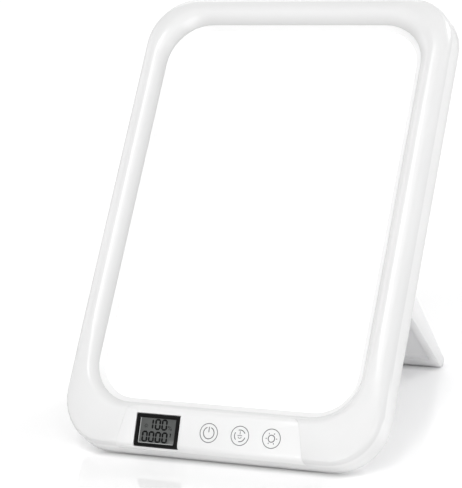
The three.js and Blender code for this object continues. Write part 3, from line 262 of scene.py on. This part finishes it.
# Float glass over a segment display: the uneven grey of its polariser under a hard gloss. The
# cell's own texture is drawn coarse, to show
def makeDisplayGlass(look):
    material, tree, shader, place = newSurface("segmentDisplayGlass")
    sheen = addNode(tree, "ShaderNodeTexNoise", {
        "Vector": place, "Scale": 1 / (look["sheenMm"] * mm), "Detail": 1.0,
    })
    cells = addNode(tree, "ShaderNodeTexNoise", {
        "Vector": place, "Scale": 1 / (look["cellMm"] * mm), "Detail": 2.0,
    })
    share = addNode(tree, "ShaderNodeMapRange", {
        "Value": sheen.outputs["Fac"], "From Min": look["sheenFrom"], "From Max": look["sheenTo"],
    })
    colour = addNode(tree, "ShaderNodeMix", {
        mixShare: share.outputs["Result"],
        mixFirst: linearColour(look["dark"]), mixSecond: linearColour(look["light"]),
    }, data_type="RGBA").outputs[mixResult]
    bump = addNode(tree, "ShaderNodeBump", {
        "Height": cells.outputs["Fac"],
        "Strength": look["cellStrength"], "Distance": look["cellDeepMm"] * mm,
    })
    tree.links.new(colour, shader.inputs["Base Color"])
    tree.links.new(bump.outputs["Normal"], shader.inputs["Normal"])
    shader.inputs["Roughness"].default_value = look["roughness"]
    shader.inputs["IOR"].default_value = look["ior"]
    shader.inputs["Specular IOR Level"].default_value = look["sheenLevel"]
    return material


segmentDisplayGlass = makeDisplayGlass({
    "light": "#5c5e5d", "dark": "#545655", "sheenMm": 14, "sheenFrom": 0.3, "sheenTo": 0.7,
    "cellMm": 0.3, "cellStrength": 0.05, "cellDeepMm": 0.01,
    "roughness": 0.12, "ior": 1.52, "sheenLevel": 0.3,
})


# A bare metal surface, with fine scratches drawn out in one direction (wider than real ones, to show)
scratchLook = {
    "from": 0.3, "to": 0.7, "duller": 0.08, "shinier": 0.06, "strength": 0.2, "deepMm": 0.01,
}


def makeScratchedMetal(name, look):
    material, tree, shader, place = newSurface(name)
    stretched = addNode(tree, "ShaderNodeMapping", {"Vector": place, "Scale": look["stretch"]})
    scratch = addNode(tree, "ShaderNodeTexNoise", {
        "Vector": stretched.outputs["Vector"], "Scale": 1 / (look["scratchMm"] * mm), "Detail": 5.0,
    })
    share = addNode(tree, "ShaderNodeMapRange", {
        "Value": scratch.outputs["Fac"],
        "From Min": scratchLook["from"], "From Max": scratchLook["to"],
    })
    colour = addNode(tree, "ShaderNodeMix", {
        mixShare: share.outputs["Result"],
        mixFirst: linearColour(look["dark"]), mixSecond: linearColour(look["light"]),
    }, data_type="RGBA").outputs[mixResult]
    gloss = addNode(tree, "ShaderNodeMapRange", {
        "Value": scratch.outputs["Fac"],
        "To Min": look["roughness"] - scratchLook["shinier"],
        "To Max": look["roughness"] + scratchLook["duller"],
    })
    bump = addNode(tree, "ShaderNodeBump", {
        "Height": scratch.outputs["Fac"],
        "Strength": scratchLook["strength"], "Distance": scratchLook["deepMm"] * mm,
    })
    tree.links.new(colour, shader.inputs["Base Color"])
    tree.links.new(gloss.outputs["Result"], shader.inputs["Roughness"])
    tree.links.new(bump.outputs["Normal"], shader.inputs["Normal"])
    shader.inputs["Metallic"].default_value = 1.0
    return material


# Zinc-plated steel of the screws, pins and washers: barrelled in a drum, so a soft grey shine
zincSteel = makeScratchedMetal("zincPlatedSteel", {
    "light": "#c6c8ca", "dark": "#a9acae", "scratchMm": 0.5, "stretch": (1, 4, 1),
    "roughness": 0.32,
})
# Rolled aluminium sheet of the tray: grain runs one way, a broad soft sheen
rolledAluminium = makeScratchedMetal("rolledAluminium", {
    "light": "#d3d4d6", "dark": "#bfc1c3", "scratchMm": 0.6, "stretch": (1, 12, 12),
    "roughness": 0.4,
})
# Nickel-plated brass contact in the power socket: small, bright and a little warm
nickelContact = makeScratchedMetal("nickelContact", {
    "light": "#cfcbc2", "dark": "#b5b1a8", "scratchMm": 0.3, "stretch": (1, 2, 1),
    "roughness": 0.22,
})


# A circuit board: solder mask over etched copper tracks, seen as slightly raised lighter lines. The
# tracks are drawn few and wide, to show
def makeCircuitBoard(name, look):
    material, tree, shader, place = newSurface(name)
    turned = addNode(tree, "ShaderNodeMapping", {"Vector": place, "Rotation": (math.pi / 2, 0, 0)})
    tracks = addNode(tree, "ShaderNodeTexBrick", {
        "Vector": turned.outputs["Vector"], "Scale": 1 / (look["trackPitchMm"] * mm),
        "Mortar Size": 0.06, "Mortar Smooth": 0.2, "Brick Width": 3.0, "Row Height": 0.5,
        "Color1": linearColour(look["mask"]), "Color2": linearColour(look["maskShade"]),
        "Mortar": linearColour(look["track"]),
    })
    bump = addNode(tree, "ShaderNodeBump", {
        "Height": tracks.outputs["Fac"],
        "Strength": look["trackStrength"], "Distance": look["trackDeepMm"] * mm,
    })
    tree.links.new(tracks.outputs["Color"], shader.inputs["Base Color"])
    tree.links.new(bump.outputs["Normal"], shader.inputs["Normal"])
    shader.inputs["Roughness"].default_value = look["roughness"]
    shader.inputs["IOR"].default_value = look["ior"]
    return material


greenBoard = makeCircuitBoard("greenSolderMask", {
    "mask": "#1f5a35", "maskShade": "#1b5230", "track": "#3b7d4d", "trackPitchMm": 5.0,
    "trackStrength": 0.4, "trackDeepMm": 0.04, "roughness": 0.35, "ior": 1.55,
})
lampStripBoard = makeCircuitBoard("whiteLampStrip", {
    "mask": "#ebe8dc", "maskShade": "#e2ddc9", "track": "#d9c98f", "trackPitchMm": 5.1,
    "trackStrength": 0.4, "trackDeepMm": 0.04, "roughness": 0.5, "ior": 1.55,
})
print("stage: materials made")


# Outer pieces carried over from the CAD: merged, smoothed and given their small edge radii
mergeMm = {"node": 0.002, "print": 0.001}


def dressNode(name, material, body, slotName, look):
    bm = bmesh.new()
    bm.from_mesh(nodes[name].data)
    bmesh.ops.remove_doubles(bm, verts=bm.verts, dist=mergeMm["node"] * mm)
    bmesh.ops.dissolve_limit(
        bm, angle_limit=math.radians(look["flatDegrees"]), verts=bm.verts, edges=bm.edges,
        use_dissolve_boundaries=False, delimit=set())
    corners = [
        edge for edge in bm.edges
        if edge.is_manifold and edge.calc_face_angle(0) > math.radians(look["cornerDegrees"])
    ]
    bmesh.ops.bevel(
        bm, geom=corners, offset=look["edgeMm"] * mm, offset_type="OFFSET", affect="EDGES",
        segments=look["edgeSteps"], profile=0.5, material=-1, clamp_overlap=True)
    manySided = [face for face in bm.faces if len(face.verts) > 4]
    bmesh.ops.triangulate(bm, faces=manySided)
    return keepPiece(bm, name + "_dressed", material, body, slotName, look["smoothDegrees"], name)


def keepPiece(bm, name, material, body, slotName, smoothDegrees, *replaced):
    for face in bm.faces:
        face.smooth = True
    for edge in bm.edges:
        sharp = edge.is_manifold and edge.calc_face_angle(0) > math.radians(smoothDegrees)
        edge.smooth = not sharp
    mesh = bpy.data.meshes.new(name)
    bm.to_mesh(mesh)
    bm.free()
    piece = bpy.data.objects.new(name, mesh)
    bpy.context.scene.collection.objects.link(piece)
    mesh.materials.append(material)
    if replaced:
        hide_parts(*replaced)
    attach(piece, body)
    return piece


# For each kind of piece: its edge radius, the angle past which an edge is rounded, the one below
# which faces join to one flat, and the one below which the shading runs on
plainEdges = {
    "edgeMm": 0.25, "edgeSteps": 2, "cornerDegrees": 50, "flatDegrees": 0.6, "smoothDegrees": 35,
}
frameEdges = {
    "edgeMm": 0.12, "edgeSteps": 2, "cornerDegrees": 55, "flatDegrees": 0.05, "smoothDegrees": 32,
}
coverEdges = {
    "edgeMm": 0.3, "edgeSteps": 2, "cornerDegrees": 50, "flatDegrees": 0.1, "smoothDegrees": 32,
}
standEdges = {
    "edgeMm": 0.6, "edgeSteps": 3, "cornerDegrees": 50, "flatDegrees": 0.3, "smoothDegrees": 35,
}
fineEdges = {
    "edgeMm": 0.12, "edgeSteps": 2, "cornerDegrees": 50, "flatDegrees": 0.5, "smoothDegrees": 38,
}

frontFrame = dressNode("front_frame", glossWhiteAbs, "panel", "frame_white", frameEdges)
dressNode("rear_cover", satinWhiteAbs, "panel", "cover_white", coverEdges)
dressNode("stand_plate", standWhiteAbs, "stand", "stand_white", standEdges)
dressNode("display_frame", glossBlackAbs, "panel", "display_black", fineEdges)
dressNode("display_glass", segmentDisplayGlass, "panel", "display_glass", fineEdges)
dressNode("diffuser_plate", litOpalPmma, "panel", "diffuser_opal", fineEdges)
controlStrip = dressNode("control_insert", filmWhiteAbs, "panel", "insert_white", fineEdges)
# The control strip fills its recess but for a hairline: it grows a little about its lower middle
stripFit = {
    "middleAcross": -1.4, "growWide": 0.24, "halfWide": 50.0, "growTall": 0.24, "tall": 21.6,
}
roomToPanelMm = Matrix.Scale(1 / mm, 4) @ panelToRoom.inverted()
growStrip = (
    Matrix.Translation((stripFit["middleAcross"], 0, 0))
    @ Matrix.Diagonal((
        1 + stripFit["growWide"] / stripFit["halfWide"], 1,
        1 + stripFit["growTall"] / stripFit["tall"], 1))
    @ Matrix.Translation((-stripFit["middleAcross"], 0, 0))
)
controlStrip.data.transform(roomToPanelMm.inverted() @ growStrip @ roomToPanelMm)
for index in range(1, 7):
    dressNode("cover_screw_%d" % index, zincSteel, "panel", "zinc_steel", fineEdges)
for side in ("left", "right"):
    dressNode("base_foot_" + side, greyRubber, "panel", "grey_rubber", plainEdges)
    dressNode("stand_foot_" + side, greyRubber, "stand", "grey_rubber", plainEdges)
    dressNode("hinge_pin_" + side, zincSteel, "panel", "zinc_steel", fineEdges)
    for place in ("inner", "outer"):
        washer = "friction_washer_%s_%s" % (side, place)
        dressNode(washer, zincSteel, "panel", "zinc_steel", fineEdges)
powerSocket = dressNode("power_socket", mattBlackPbt, "panel", "black_plastic", fineEdges)
print("stage: outer pieces dressed")

# The frame's lip lies inside the window's outline. The frame's colour carries painted shade, greyer
# near the lip, at the outer edge in front of the side wall, and a little all over the crown
windowOutline = {"halfWide": 74.5, "low": 24.0, "high": 242.9, "corner": 24.0, "margin": 0.15}
bodyOutline = {"halfWide": 89.5, "low": 0.0, "high": 258.7, "corner": 27.0}
shadeLook = {
    "lipReach": 5.5, "lipPower": 1.5, "edgeReach": 6.0, "edgeShare": 0.5, "crownShare": 0.22,
    "thickBelow": 65.0, "barShare": 0.4, "wallTop": 2.3,
}
roomToPanel = panelToRoom.inverted()


def beyond(outline, place):  # how far a place lies outside a rounded outline, negative inside it
    middle = (outline["high"] + outline["low"]) / 2
    across = abs(place.x) - outline["halfWide"] + outline["corner"]
    up = abs(place.z - middle) - (outline["high"] - outline["low"]) / 2 + outline["corner"]
    return math.hypot(max(across, 0), max(up, 0)) + min(max(across, up), 0) - outline["corner"]


def shareOf(value):
    return min(1, max(0, value))


secondMaterial = 1
frontFrame.data.materials.append(thinLipAbs)
for face in frontFrame.data.polygons:
    if beyond(windowOutline, roomToPanel @ face.center / mm) < -windowOutline["margin"]:
        face.material_index = secondMaterial
# Painted shade: each vertex keeps how far the frame's colour greys towards the shade tone
paintedShade = frontFrame.data.attributes.new("paintedShade", "FLOAT", "POINT")
for vertex in frontFrame.data.vertices:
    place = roomToPanel @ vertex.co / mm
    onCrown = shareOf(place.z / shadeLook["thickBelow"])
    towardsLip = shareOf(1 - beyond(windowOutline, place) / shadeLook["lipReach"])
    towardsLip **= shadeLook["lipPower"]
    towardsLip *= shadeLook["barShare"] + (1 - shadeLook["barShare"]) * onCrown
    towardsEdge = shareOf(1 + beyond(bodyOutline, place) / shadeLook["edgeReach"])
    towardsEdge *= shadeLook["edgeShare"]
    if place.y > shadeLook["wallTop"]:
        towardsEdge = 0
    shares = (towardsLip, towardsEdge, onCrown * shadeLook["crownShare"])
    paintedShade.data[vertex.index].value = 1 - math.prod(1 - share for share in shares)

# The socket's centre pin is metal: the faces close round its axis
socketPin = {"across": -34.0, "radius": 1.15, "slack": 0.01}
powerSocket.data.materials.append(nickelContact)
socketFaces = [(face, roomToPanel @ face.center / mm) for face in powerSocket.data.polygons]
noseBack = max(centre.y for face, centre in socketFaces)
noseHeight = [centre.z for face, centre in socketFaces if centre.y > noseBack - socketPin["slack"]]
socketMiddle = (max(noseHeight) + min(noseHeight)) / 2
for face, centre in socketFaces:
    if math.hypot(centre.x - socketPin["across"], centre.z - socketMiddle) < socketPin["radius"]:
        face.material_index = secondMaterial

# Inner pieces keep their CAD shape and get their finishes
innerFinish = {
    "display_backlight": reflectorPet, "control_board": greenBoard, "main_board": greenBoard,
    "light_guide": clearPmma, "reflector_sheet": reflectorPet, "back_tray": rolledAluminium,
    "lamp_strip_left": lampStripBoard, "lamp_strip_right": lampStripBoard,
    "strip_lead_left": cableSheath, "strip_lead_right": cableSheath, "control_ribbon": cableSheath,
    "driver_coil": sinteredFerrite, "filter_capacitor": shrinkSleeve, "driver_chip": mattBlackPbt,
    "key_pad_1": greyRubber, "key_pad_2": greyRubber, "key_pad_3": greyRubber,
    "control_board_screw_left": zincSteel, "control_board_screw_right": zincSteel,
    "main_board_screw_1": zincSteel, "main_board_screw_2": zincSteel,
    "main_board_screw_3": zincSteel, "main_board_screw_4": zincSteel,
}
for name, material in innerFinish.items():
    nodes[name].data.materials.clear()
    nodes[name].data.materials.append(material)
print("stage: inner pieces finished")


# Printed signs, drawn in millimetres on the control face: x across, z up its slope, -y out of it
def drawArc(bm, x, z, radius, width, startDegrees, sweepDegrees, steps):
    angle = math.radians(startDegrees)
    ends = [
        bm.verts.new((x + reach * math.cos(angle), 0, z + reach * math.sin(angle)))
        for reach in (radius - width / 2, radius + width / 2)
    ]
    line = bm.edges.new(ends)
    bmesh.ops.spin(
        bm, geom=[*ends, line], cent=(x, 0, z), axis=(0, -1, 0), dvec=(0, 0, 0),
        angle=math.radians(sweepDegrees), steps=steps, use_merge=sweepDegrees == 360,
        use_normal_flip=False, use_duplicate=False)


def drawBar(bm, start, end, width, mitre=0.0):
    (x1, z1), (x2, z2) = start, end
    length = math.hypot(x2 - x1, z2 - z1)
    turn = math.atan2(z2 - z1, x2 - x1)
    place = (
        Matrix.Translation(((x1 + x2) / 2, 0, (z1 + z2) / 2))
        @ Matrix.Rotation(math.pi / 2, 4, "X")
        @ Matrix.Rotation(turn, 4, "Z")
        @ Matrix.Diagonal((length, width, 1, 1))
    )
    made = bmesh.ops.create_grid(bm, x_segments=1, y_segments=1, size=0.5, matrix=place)
    if mitre > 0:
        bmesh.ops.bevel(
            bm, geom=made["verts"], offset=mitre, offset_type="OFFSET", affect="VERTICES",
            segments=1, profile=0.5, material=-1)


def keepPrint(bm, name, material, look, slotName):
    bmesh.ops.remove_doubles(bm, verts=bm.verts, dist=mergeMm["print"])
    bmesh.ops.recalc_face_normals(bm, faces=bm.faces)
    bmesh.ops.reverse_faces(bm, faces=[face for face in bm.faces if face.normal.y > 0])
    bmesh.ops.translate(bm, verts=bm.verts, vec=(0, look["depthMm"] - look["liftMm"], 0))
    bmesh.ops.solidify(bm, geom=bm.faces[:], thickness=-look["inkMm"])
    bmesh.ops.recalc_face_normals(bm, faces=bm.faces)
    bmesh.ops.transform(bm, matrix=controlToRoom, verts=bm.verts)
    keepPiece(bm, name, material, "panel", slotName, look["smoothDegrees"])


def drawRays(bm, x, z, look):
    for ray in range(look["rays"]):
        angle = ray * 2 * math.pi / look["rays"]
        ends = [
            (x + reach * math.cos(angle), z + reach * math.sin(angle))
            for reach in (look["rayFrom"], look["rayTo"])
        ]
        drawBar(bm, *ends, look["rayWidth"])


# Three touch keys: a ring each, with its sign inside
keyPrint = {
    "middleAcross": 16.0, "pitch": 17.35, "up": 1.35, "ringRadius": 4.85, "ringWidth": 0.36,
    "ringSteps": 72, "signWidth": 0.42, "signRadius": 2.95,
    "depthMm": 0.0, "liftMm": 0.0, "inkMm": 0.03, "smoothDegrees": 30,
}
powerLeft, timerMiddle, brightnessRight = (
    keyPrint["middleAcross"] + step * keyPrint["pitch"] for step in (-1, 0, 1))
keyUp = keyPrint["up"]


def startKey(across):
    bm = bmesh.new()
    drawArc(
        bm, across, keyUp, keyPrint["ringRadius"], keyPrint["ringWidth"],
        0, 360, keyPrint["ringSteps"])
    return bm


powerSign = {"start": 112, "sweep": 316, "steps": 48, "barLow": 0.35, "barHigh": 3.15}
powerKey = startKey(powerLeft)
drawArc(
    powerKey, powerLeft, keyUp, keyPrint["signRadius"], keyPrint["signWidth"],
    powerSign["start"], powerSign["sweep"], powerSign["steps"])
drawBar(
    powerKey, (powerLeft, keyUp + powerSign["barLow"]), (powerLeft, keyUp + powerSign["barHigh"]),
    keyPrint["signWidth"])
keepPrint(powerKey, "power_key_print", greyInk, keyPrint, "insert_white")

# A dashed clock face in three arcs, and inside it a stem, a rod and a small bowl
timerSign = {
    "arcs": ((148, 76), (26, 84), (-100, 86)), "arcSteps": 16, "line": 0.3,
    "stemLow": 0.75, "stemHigh": 2.3, "rodLeft": -1.3, "rodRight": 1.2, "rodUp": 0.15,
    "bowlUp": -0.4, "bowlRadius": 0.85, "bowlStart": 190, "bowlSweep": 160, "bowlSteps": 12,
}
timerKey = startKey(timerMiddle)
for start, sweep in timerSign["arcs"]:
    drawArc(
        timerKey, timerMiddle, keyUp, keyPrint["signRadius"], keyPrint["signWidth"],
        start, sweep, timerSign["arcSteps"])
drawBar(
    timerKey, (timerMiddle, keyUp + timerSign["stemLow"]),
    (timerMiddle, keyUp + timerSign["stemHigh"]), timerSign["line"])
rodUp = keyUp + timerSign["rodUp"]
drawBar(
    timerKey, (timerMiddle + timerSign["rodLeft"], rodUp),
    (timerMiddle + timerSign["rodRight"], rodUp), timerSign["line"])
drawArc(
    timerKey, timerMiddle, keyUp + timerSign["bowlUp"], timerSign["bowlRadius"], timerSign["line"],
    timerSign["bowlStart"], timerSign["bowlSweep"], timerSign["bowlSteps"])
keepPrint(timerKey, "timer_key_print", greyInk, keyPrint, "insert_white")

brightnessSign = {
    "discRadius": 1.75, "discSteps": 40,
    "rays": 6, "rayFrom": 2.45, "rayTo": 3.15, "rayWidth": 0.36,
}
brightnessKey = startKey(brightnessRight)
drawArc(
    brightnessKey, brightnessRight, keyUp, brightnessSign["discRadius"], keyPrint["signWidth"],
    0, 360, brightnessSign["discSteps"])
drawRays(brightnessKey, brightnessRight, keyUp, brightnessSign)
keepPrint(brightnessKey, "brightness_key_print", greyInk, keyPrint, "insert_white")

# Display digits: the segments of a seven-segment digit that noughts and ones need, in two rows
segmentEnds = {
    "a": ((0, 1), (1, 1)), "b": ((1, 1), (1, 0.5)), "c": ((1, 0.5), (1, 0)), "d": ((1, 0), (0, 0)),
    "e": ((0, 0), (0, 0.5)), "f": ((0, 0.5), (0, 1)),
}
digitSegments = {"0": "abcdef", "1": "bc"}
digitLook = {
    "wide": 2.42, "tall": 4.9, "stroke": 0.92, "gap": 0.1, "pitch": 3.78, "cut": 0.42,
    "depthMm": 0.2, "liftMm": 0.01, "inkMm": 0.02, "smoothDegrees": 30,
}


def drawDigit(bm, digit, left, low):
    for letter in digitSegments[digit]:
        (x1, z1), (x2, z2) = segmentEnds[letter]
        x1, x2 = x1 * digitLook["wide"], x2 * digitLook["wide"]
        z1, z2 = z1 * digitLook["tall"], z2 * digitLook["tall"]
        length = math.hypot(x2 - x1, z2 - z1)
        dx, dz = (x2 - x1) / length * digitLook["gap"], (z2 - z1) / length * digitLook["gap"]
        x1, z1, x2, z2 = x1 + dx, z1 + dz, x2 - dx, z2 - dz
        drawBar(
            bm, (left + x1, low + z1), (left + x2, low + z2),
            digitLook["stroke"], digitLook["stroke"] * digitLook["cut"])


# Black border printed under the glass at both ends of the pane
borderLook = {"left": (-40.67, -41.3), "right": (-20.44, -19.9), "bottom": -6.6, "top": 6.6}
border = bmesh.new()
for inner, outer in (borderLook["left"], borderLook["right"]):
    middle = (inner + outer) / 2
    drawBar(border, (middle, borderLook["bottom"]), (middle, borderLook["top"]), abs(outer - inner))
keepPrint(border, "display_border_print", glossBlackAbs, digitLook, "display_black")

# The polarising film's cut edge shows at the left and the bottom, as a painted highlight
filmLook = {"width": 0.38, "left": -40.5, "right": -20.8, "bottom": -6.42, "top": 6.3}
filmEdge = bmesh.new()
filmCorner = (filmLook["left"], filmLook["bottom"])
drawBar(filmEdge, filmCorner, (filmLook["left"], filmLook["top"]), filmLook["width"])
drawBar(filmEdge, filmCorner, (filmLook["right"], filmLook["bottom"]), filmLook["width"])
keepPrint(filmEdge, "display_film_edge_highlight", filmEdgeHighlight, digitLook, "display_glass")

rowLook = {
    "upper": 0.88, "upperDigits": ((-35.88, "1"), (-31.78, "0"), (-28.0, "0")),
    "lower": -5.68, "lowerLeft": -38.5, "lowerCount": 4,
}
digits = bmesh.new()
for left, digit in rowLook["upperDigits"]:
    drawDigit(digits, digit, left, rowLook["upper"])
for column in range(rowLook["lowerCount"]):
    drawDigit(digits, "0", rowLook["lowerLeft"] + column * digitLook["pitch"], rowLook["lower"])

sunSign = {
    "place": (-37.2, 2.2), "radius": 0.55, "line": 0.18, "steps": 20,
    "rays": 8, "rayFrom": 0.85, "rayTo": 1.2, "rayWidth": 0.16,
}
drawArc(digits, *sunSign["place"], sunSign["radius"], sunSign["line"], 0, 360, sunSign["steps"])
drawRays(digits, *sunSign["place"], sunSign)

percentSign = {
    "across": -23.5, "up": 1.9, "dotAcross": 0.72, "dotUp": 0.62, "dotRadius": 0.38,
    "line": 0.2, "steps": 16, "barAcross": 0.6, "barUp": 0.9,
}
for side in (-1, 1):
    drawArc(
        digits, percentSign["across"] + side * percentSign["dotAcross"],
        percentSign["up"] - side * percentSign["dotUp"],
        percentSign["dotRadius"], percentSign["line"], 0, 360, percentSign["steps"])
slashEnds = [
    (percentSign["across"] + side * percentSign["barAcross"],
     percentSign["up"] + side * percentSign["barUp"])
    for side in (-1, 1)
]
drawBar(digits, *slashEnds, percentSign["line"])

minuteMark = (
    {"from": (-22.85, -2.7), "to": (-22.65, -0.8), "width": 0.5},
    {"from": (-23.3, -1.0), "to": (-22.6, -0.9), "width": 0.36},
)
for stroke in minuteMark:
    drawBar(digits, stroke["from"], stroke["to"], stroke["width"])
keepPrint(digits, "display_digits", segmentInk, digitLook, "display_black")
print("stage: prints and digits drawn")

# Room: a pale polished floor that keeps the lamp's shadow, white surround and soft studio light
roomLook = {
    "floorHalf": 6.0, "floorHex": "#f7f7f7", "floorRoughness": 0.05, "floorIor": 1.65,
    "cameraGlow": 0.19, "contactMm": 5, "surround": 0.45, "aim": (0, 0, 0.1),
}
lampLook = {
    "overhead": {"energy": 7.4, "size": 0.5, "place": (0.11, -1.0, 1.71)},
    "key": {"energy": 3.2, "size": 0.7, "place": (0.79, -0.94, 1.56)},
    "leftFill": {"energy": 3.9, "size": 1.0, "place": (-1.78, 0.16, 0.75)},
    "rightFill": {"energy": 4.8, "size": 0.8, "place": (1.59, -0.99, 0.43)},
    "lowFront": {"energy": 7, "size": 0.8, "place": (0.0, -1.9, 0.23)},
    "topRim": {"energy": 3.5, "size": 1.0, "place": (-0.78, 1.35, 1.19)},
    "rightRim": {"energy": 11, "size": 0.8, "place": (1.21, 1.21, 0.93)},
}
floorMesh = bmesh.new()
bmesh.ops.create_grid(floorMesh, x_segments=1, y_segments=1, size=roomLook["floorHalf"])
floorData = bpy.data.meshes.new("floor")
floorMesh.to_mesh(floorData)
floorMesh.free()
floor = bpy.data.objects.new("floor", floorData)
bpy.context.scene.collection.objects.link(floor)
floorMaterial, floorTree, floorShader, _ = newSurface("paleFloor")
floorShader.inputs["Base Color"].default_value = linearColour(roomLook["floorHex"])
floorShader.inputs["Roughness"].default_value = roomLook["floorRoughness"]
floorShader.inputs["IOR"].default_value = roomLook["floorIor"]
floorShader.inputs["Emission Color"].default_value = (1, 1, 1, 1)
# The floor whitens for the camera alone, held back by painted contact shade in the seam under the
# lamp
rays = addNode(floorTree, "ShaderNodeLightPath")
seen = addNode(floorTree, "ShaderNodeMath", {
    0: rays.outputs["Is Camera Ray"], 1: roomLook["cameraGlow"],
}, operation="MULTIPLY")
contact = addNode(floorTree, "ShaderNodeAmbientOcclusion", {"Distance": roomLook["contactMm"] * mm})
glow = addNode(floorTree, "ShaderNodeMath", {
    0: seen.outputs["Value"], 1: contact.outputs["AO"],
}, operation="MULTIPLY")
floorTree.links.new(glow.outputs["Value"], floorShader.inputs["Emission Strength"])
floorData.materials.append(floorMaterial)

world = bpy.data.worlds.new("studio")
bpy.context.scene.world = world
world.use_nodes = True
worldTree = world.node_tree
worldTree.nodes.clear()
# The surround is plain white where it is seen or mirrored, and weaker where it only lights
rays = addNode(worldTree, "ShaderNodeLightPath")
direct = addNode(worldTree, "ShaderNodeMath", {
    0: rays.outputs["Is Camera Ray"], 1: rays.outputs["Is Glossy Ray"],
}, operation="MAXIMUM")
direct = addNode(worldTree, "ShaderNodeMath", {
    0: direct.outputs["Value"], 1: rays.outputs["Is Transmission Ray"],
}, operation="MAXIMUM")
strength = addNode(worldTree, "ShaderNodeMapRange", {
    "Value": direct.outputs["Value"], "To Min": roomLook["surround"], "To Max": 1.0,
})
background = addNode(worldTree, "ShaderNodeBackground", {
    "Color": (1, 1, 1, 1), "Strength": strength.outputs["Result"],
})
addNode(worldTree, "ShaderNodeOutputWorld", {"Surface": background.outputs["Background"]})

for name, look in lampLook.items():
    lamp = bpy.data.lights.new(name, "AREA")
    lamp.energy = look["energy"]
    lamp.size = look["size"]
    holder = bpy.data.objects.new(name, lamp)
    holder.location = look["place"]
    towards = Vector(roomLook["aim"]) - Vector(look["place"])
    holder.rotation_euler = towards.to_track_quat("-Z", "Y").to_euler()
    bpy.context.scene.collection.objects.link(holder)

# Camera, at the place worked out from the photograph's perspective
cameraLook = {
    "place": (0.457334, -0.963476, 0.418867),
    "turnDegrees": (73.00959, 5.17063, 24.75652),
    "lens": 155.759, "sensor": 36, "clipStart": 0.05, "clipEnd": 50,
}
cameraData = bpy.data.cameras.new("camera")
cameraData.lens = cameraLook["lens"]
cameraData.sensor_width = cameraLook["sensor"]
cameraData.clip_start = cameraLook["clipStart"]
cameraData.clip_end = cameraLook["clipEnd"]
camera = bpy.data.objects.new("camera", cameraData)
camera.location = cameraLook["place"]
camera.rotation_euler = [math.radians(turn) for turn in cameraLook["turnDegrees"]]
bpy.context.scene.collection.objects.link(camera)
bpy.context.scene.camera = camera
bpy.context.scene.view_settings.view_transform = "Standard"
print("stage: room, lights and camera set")
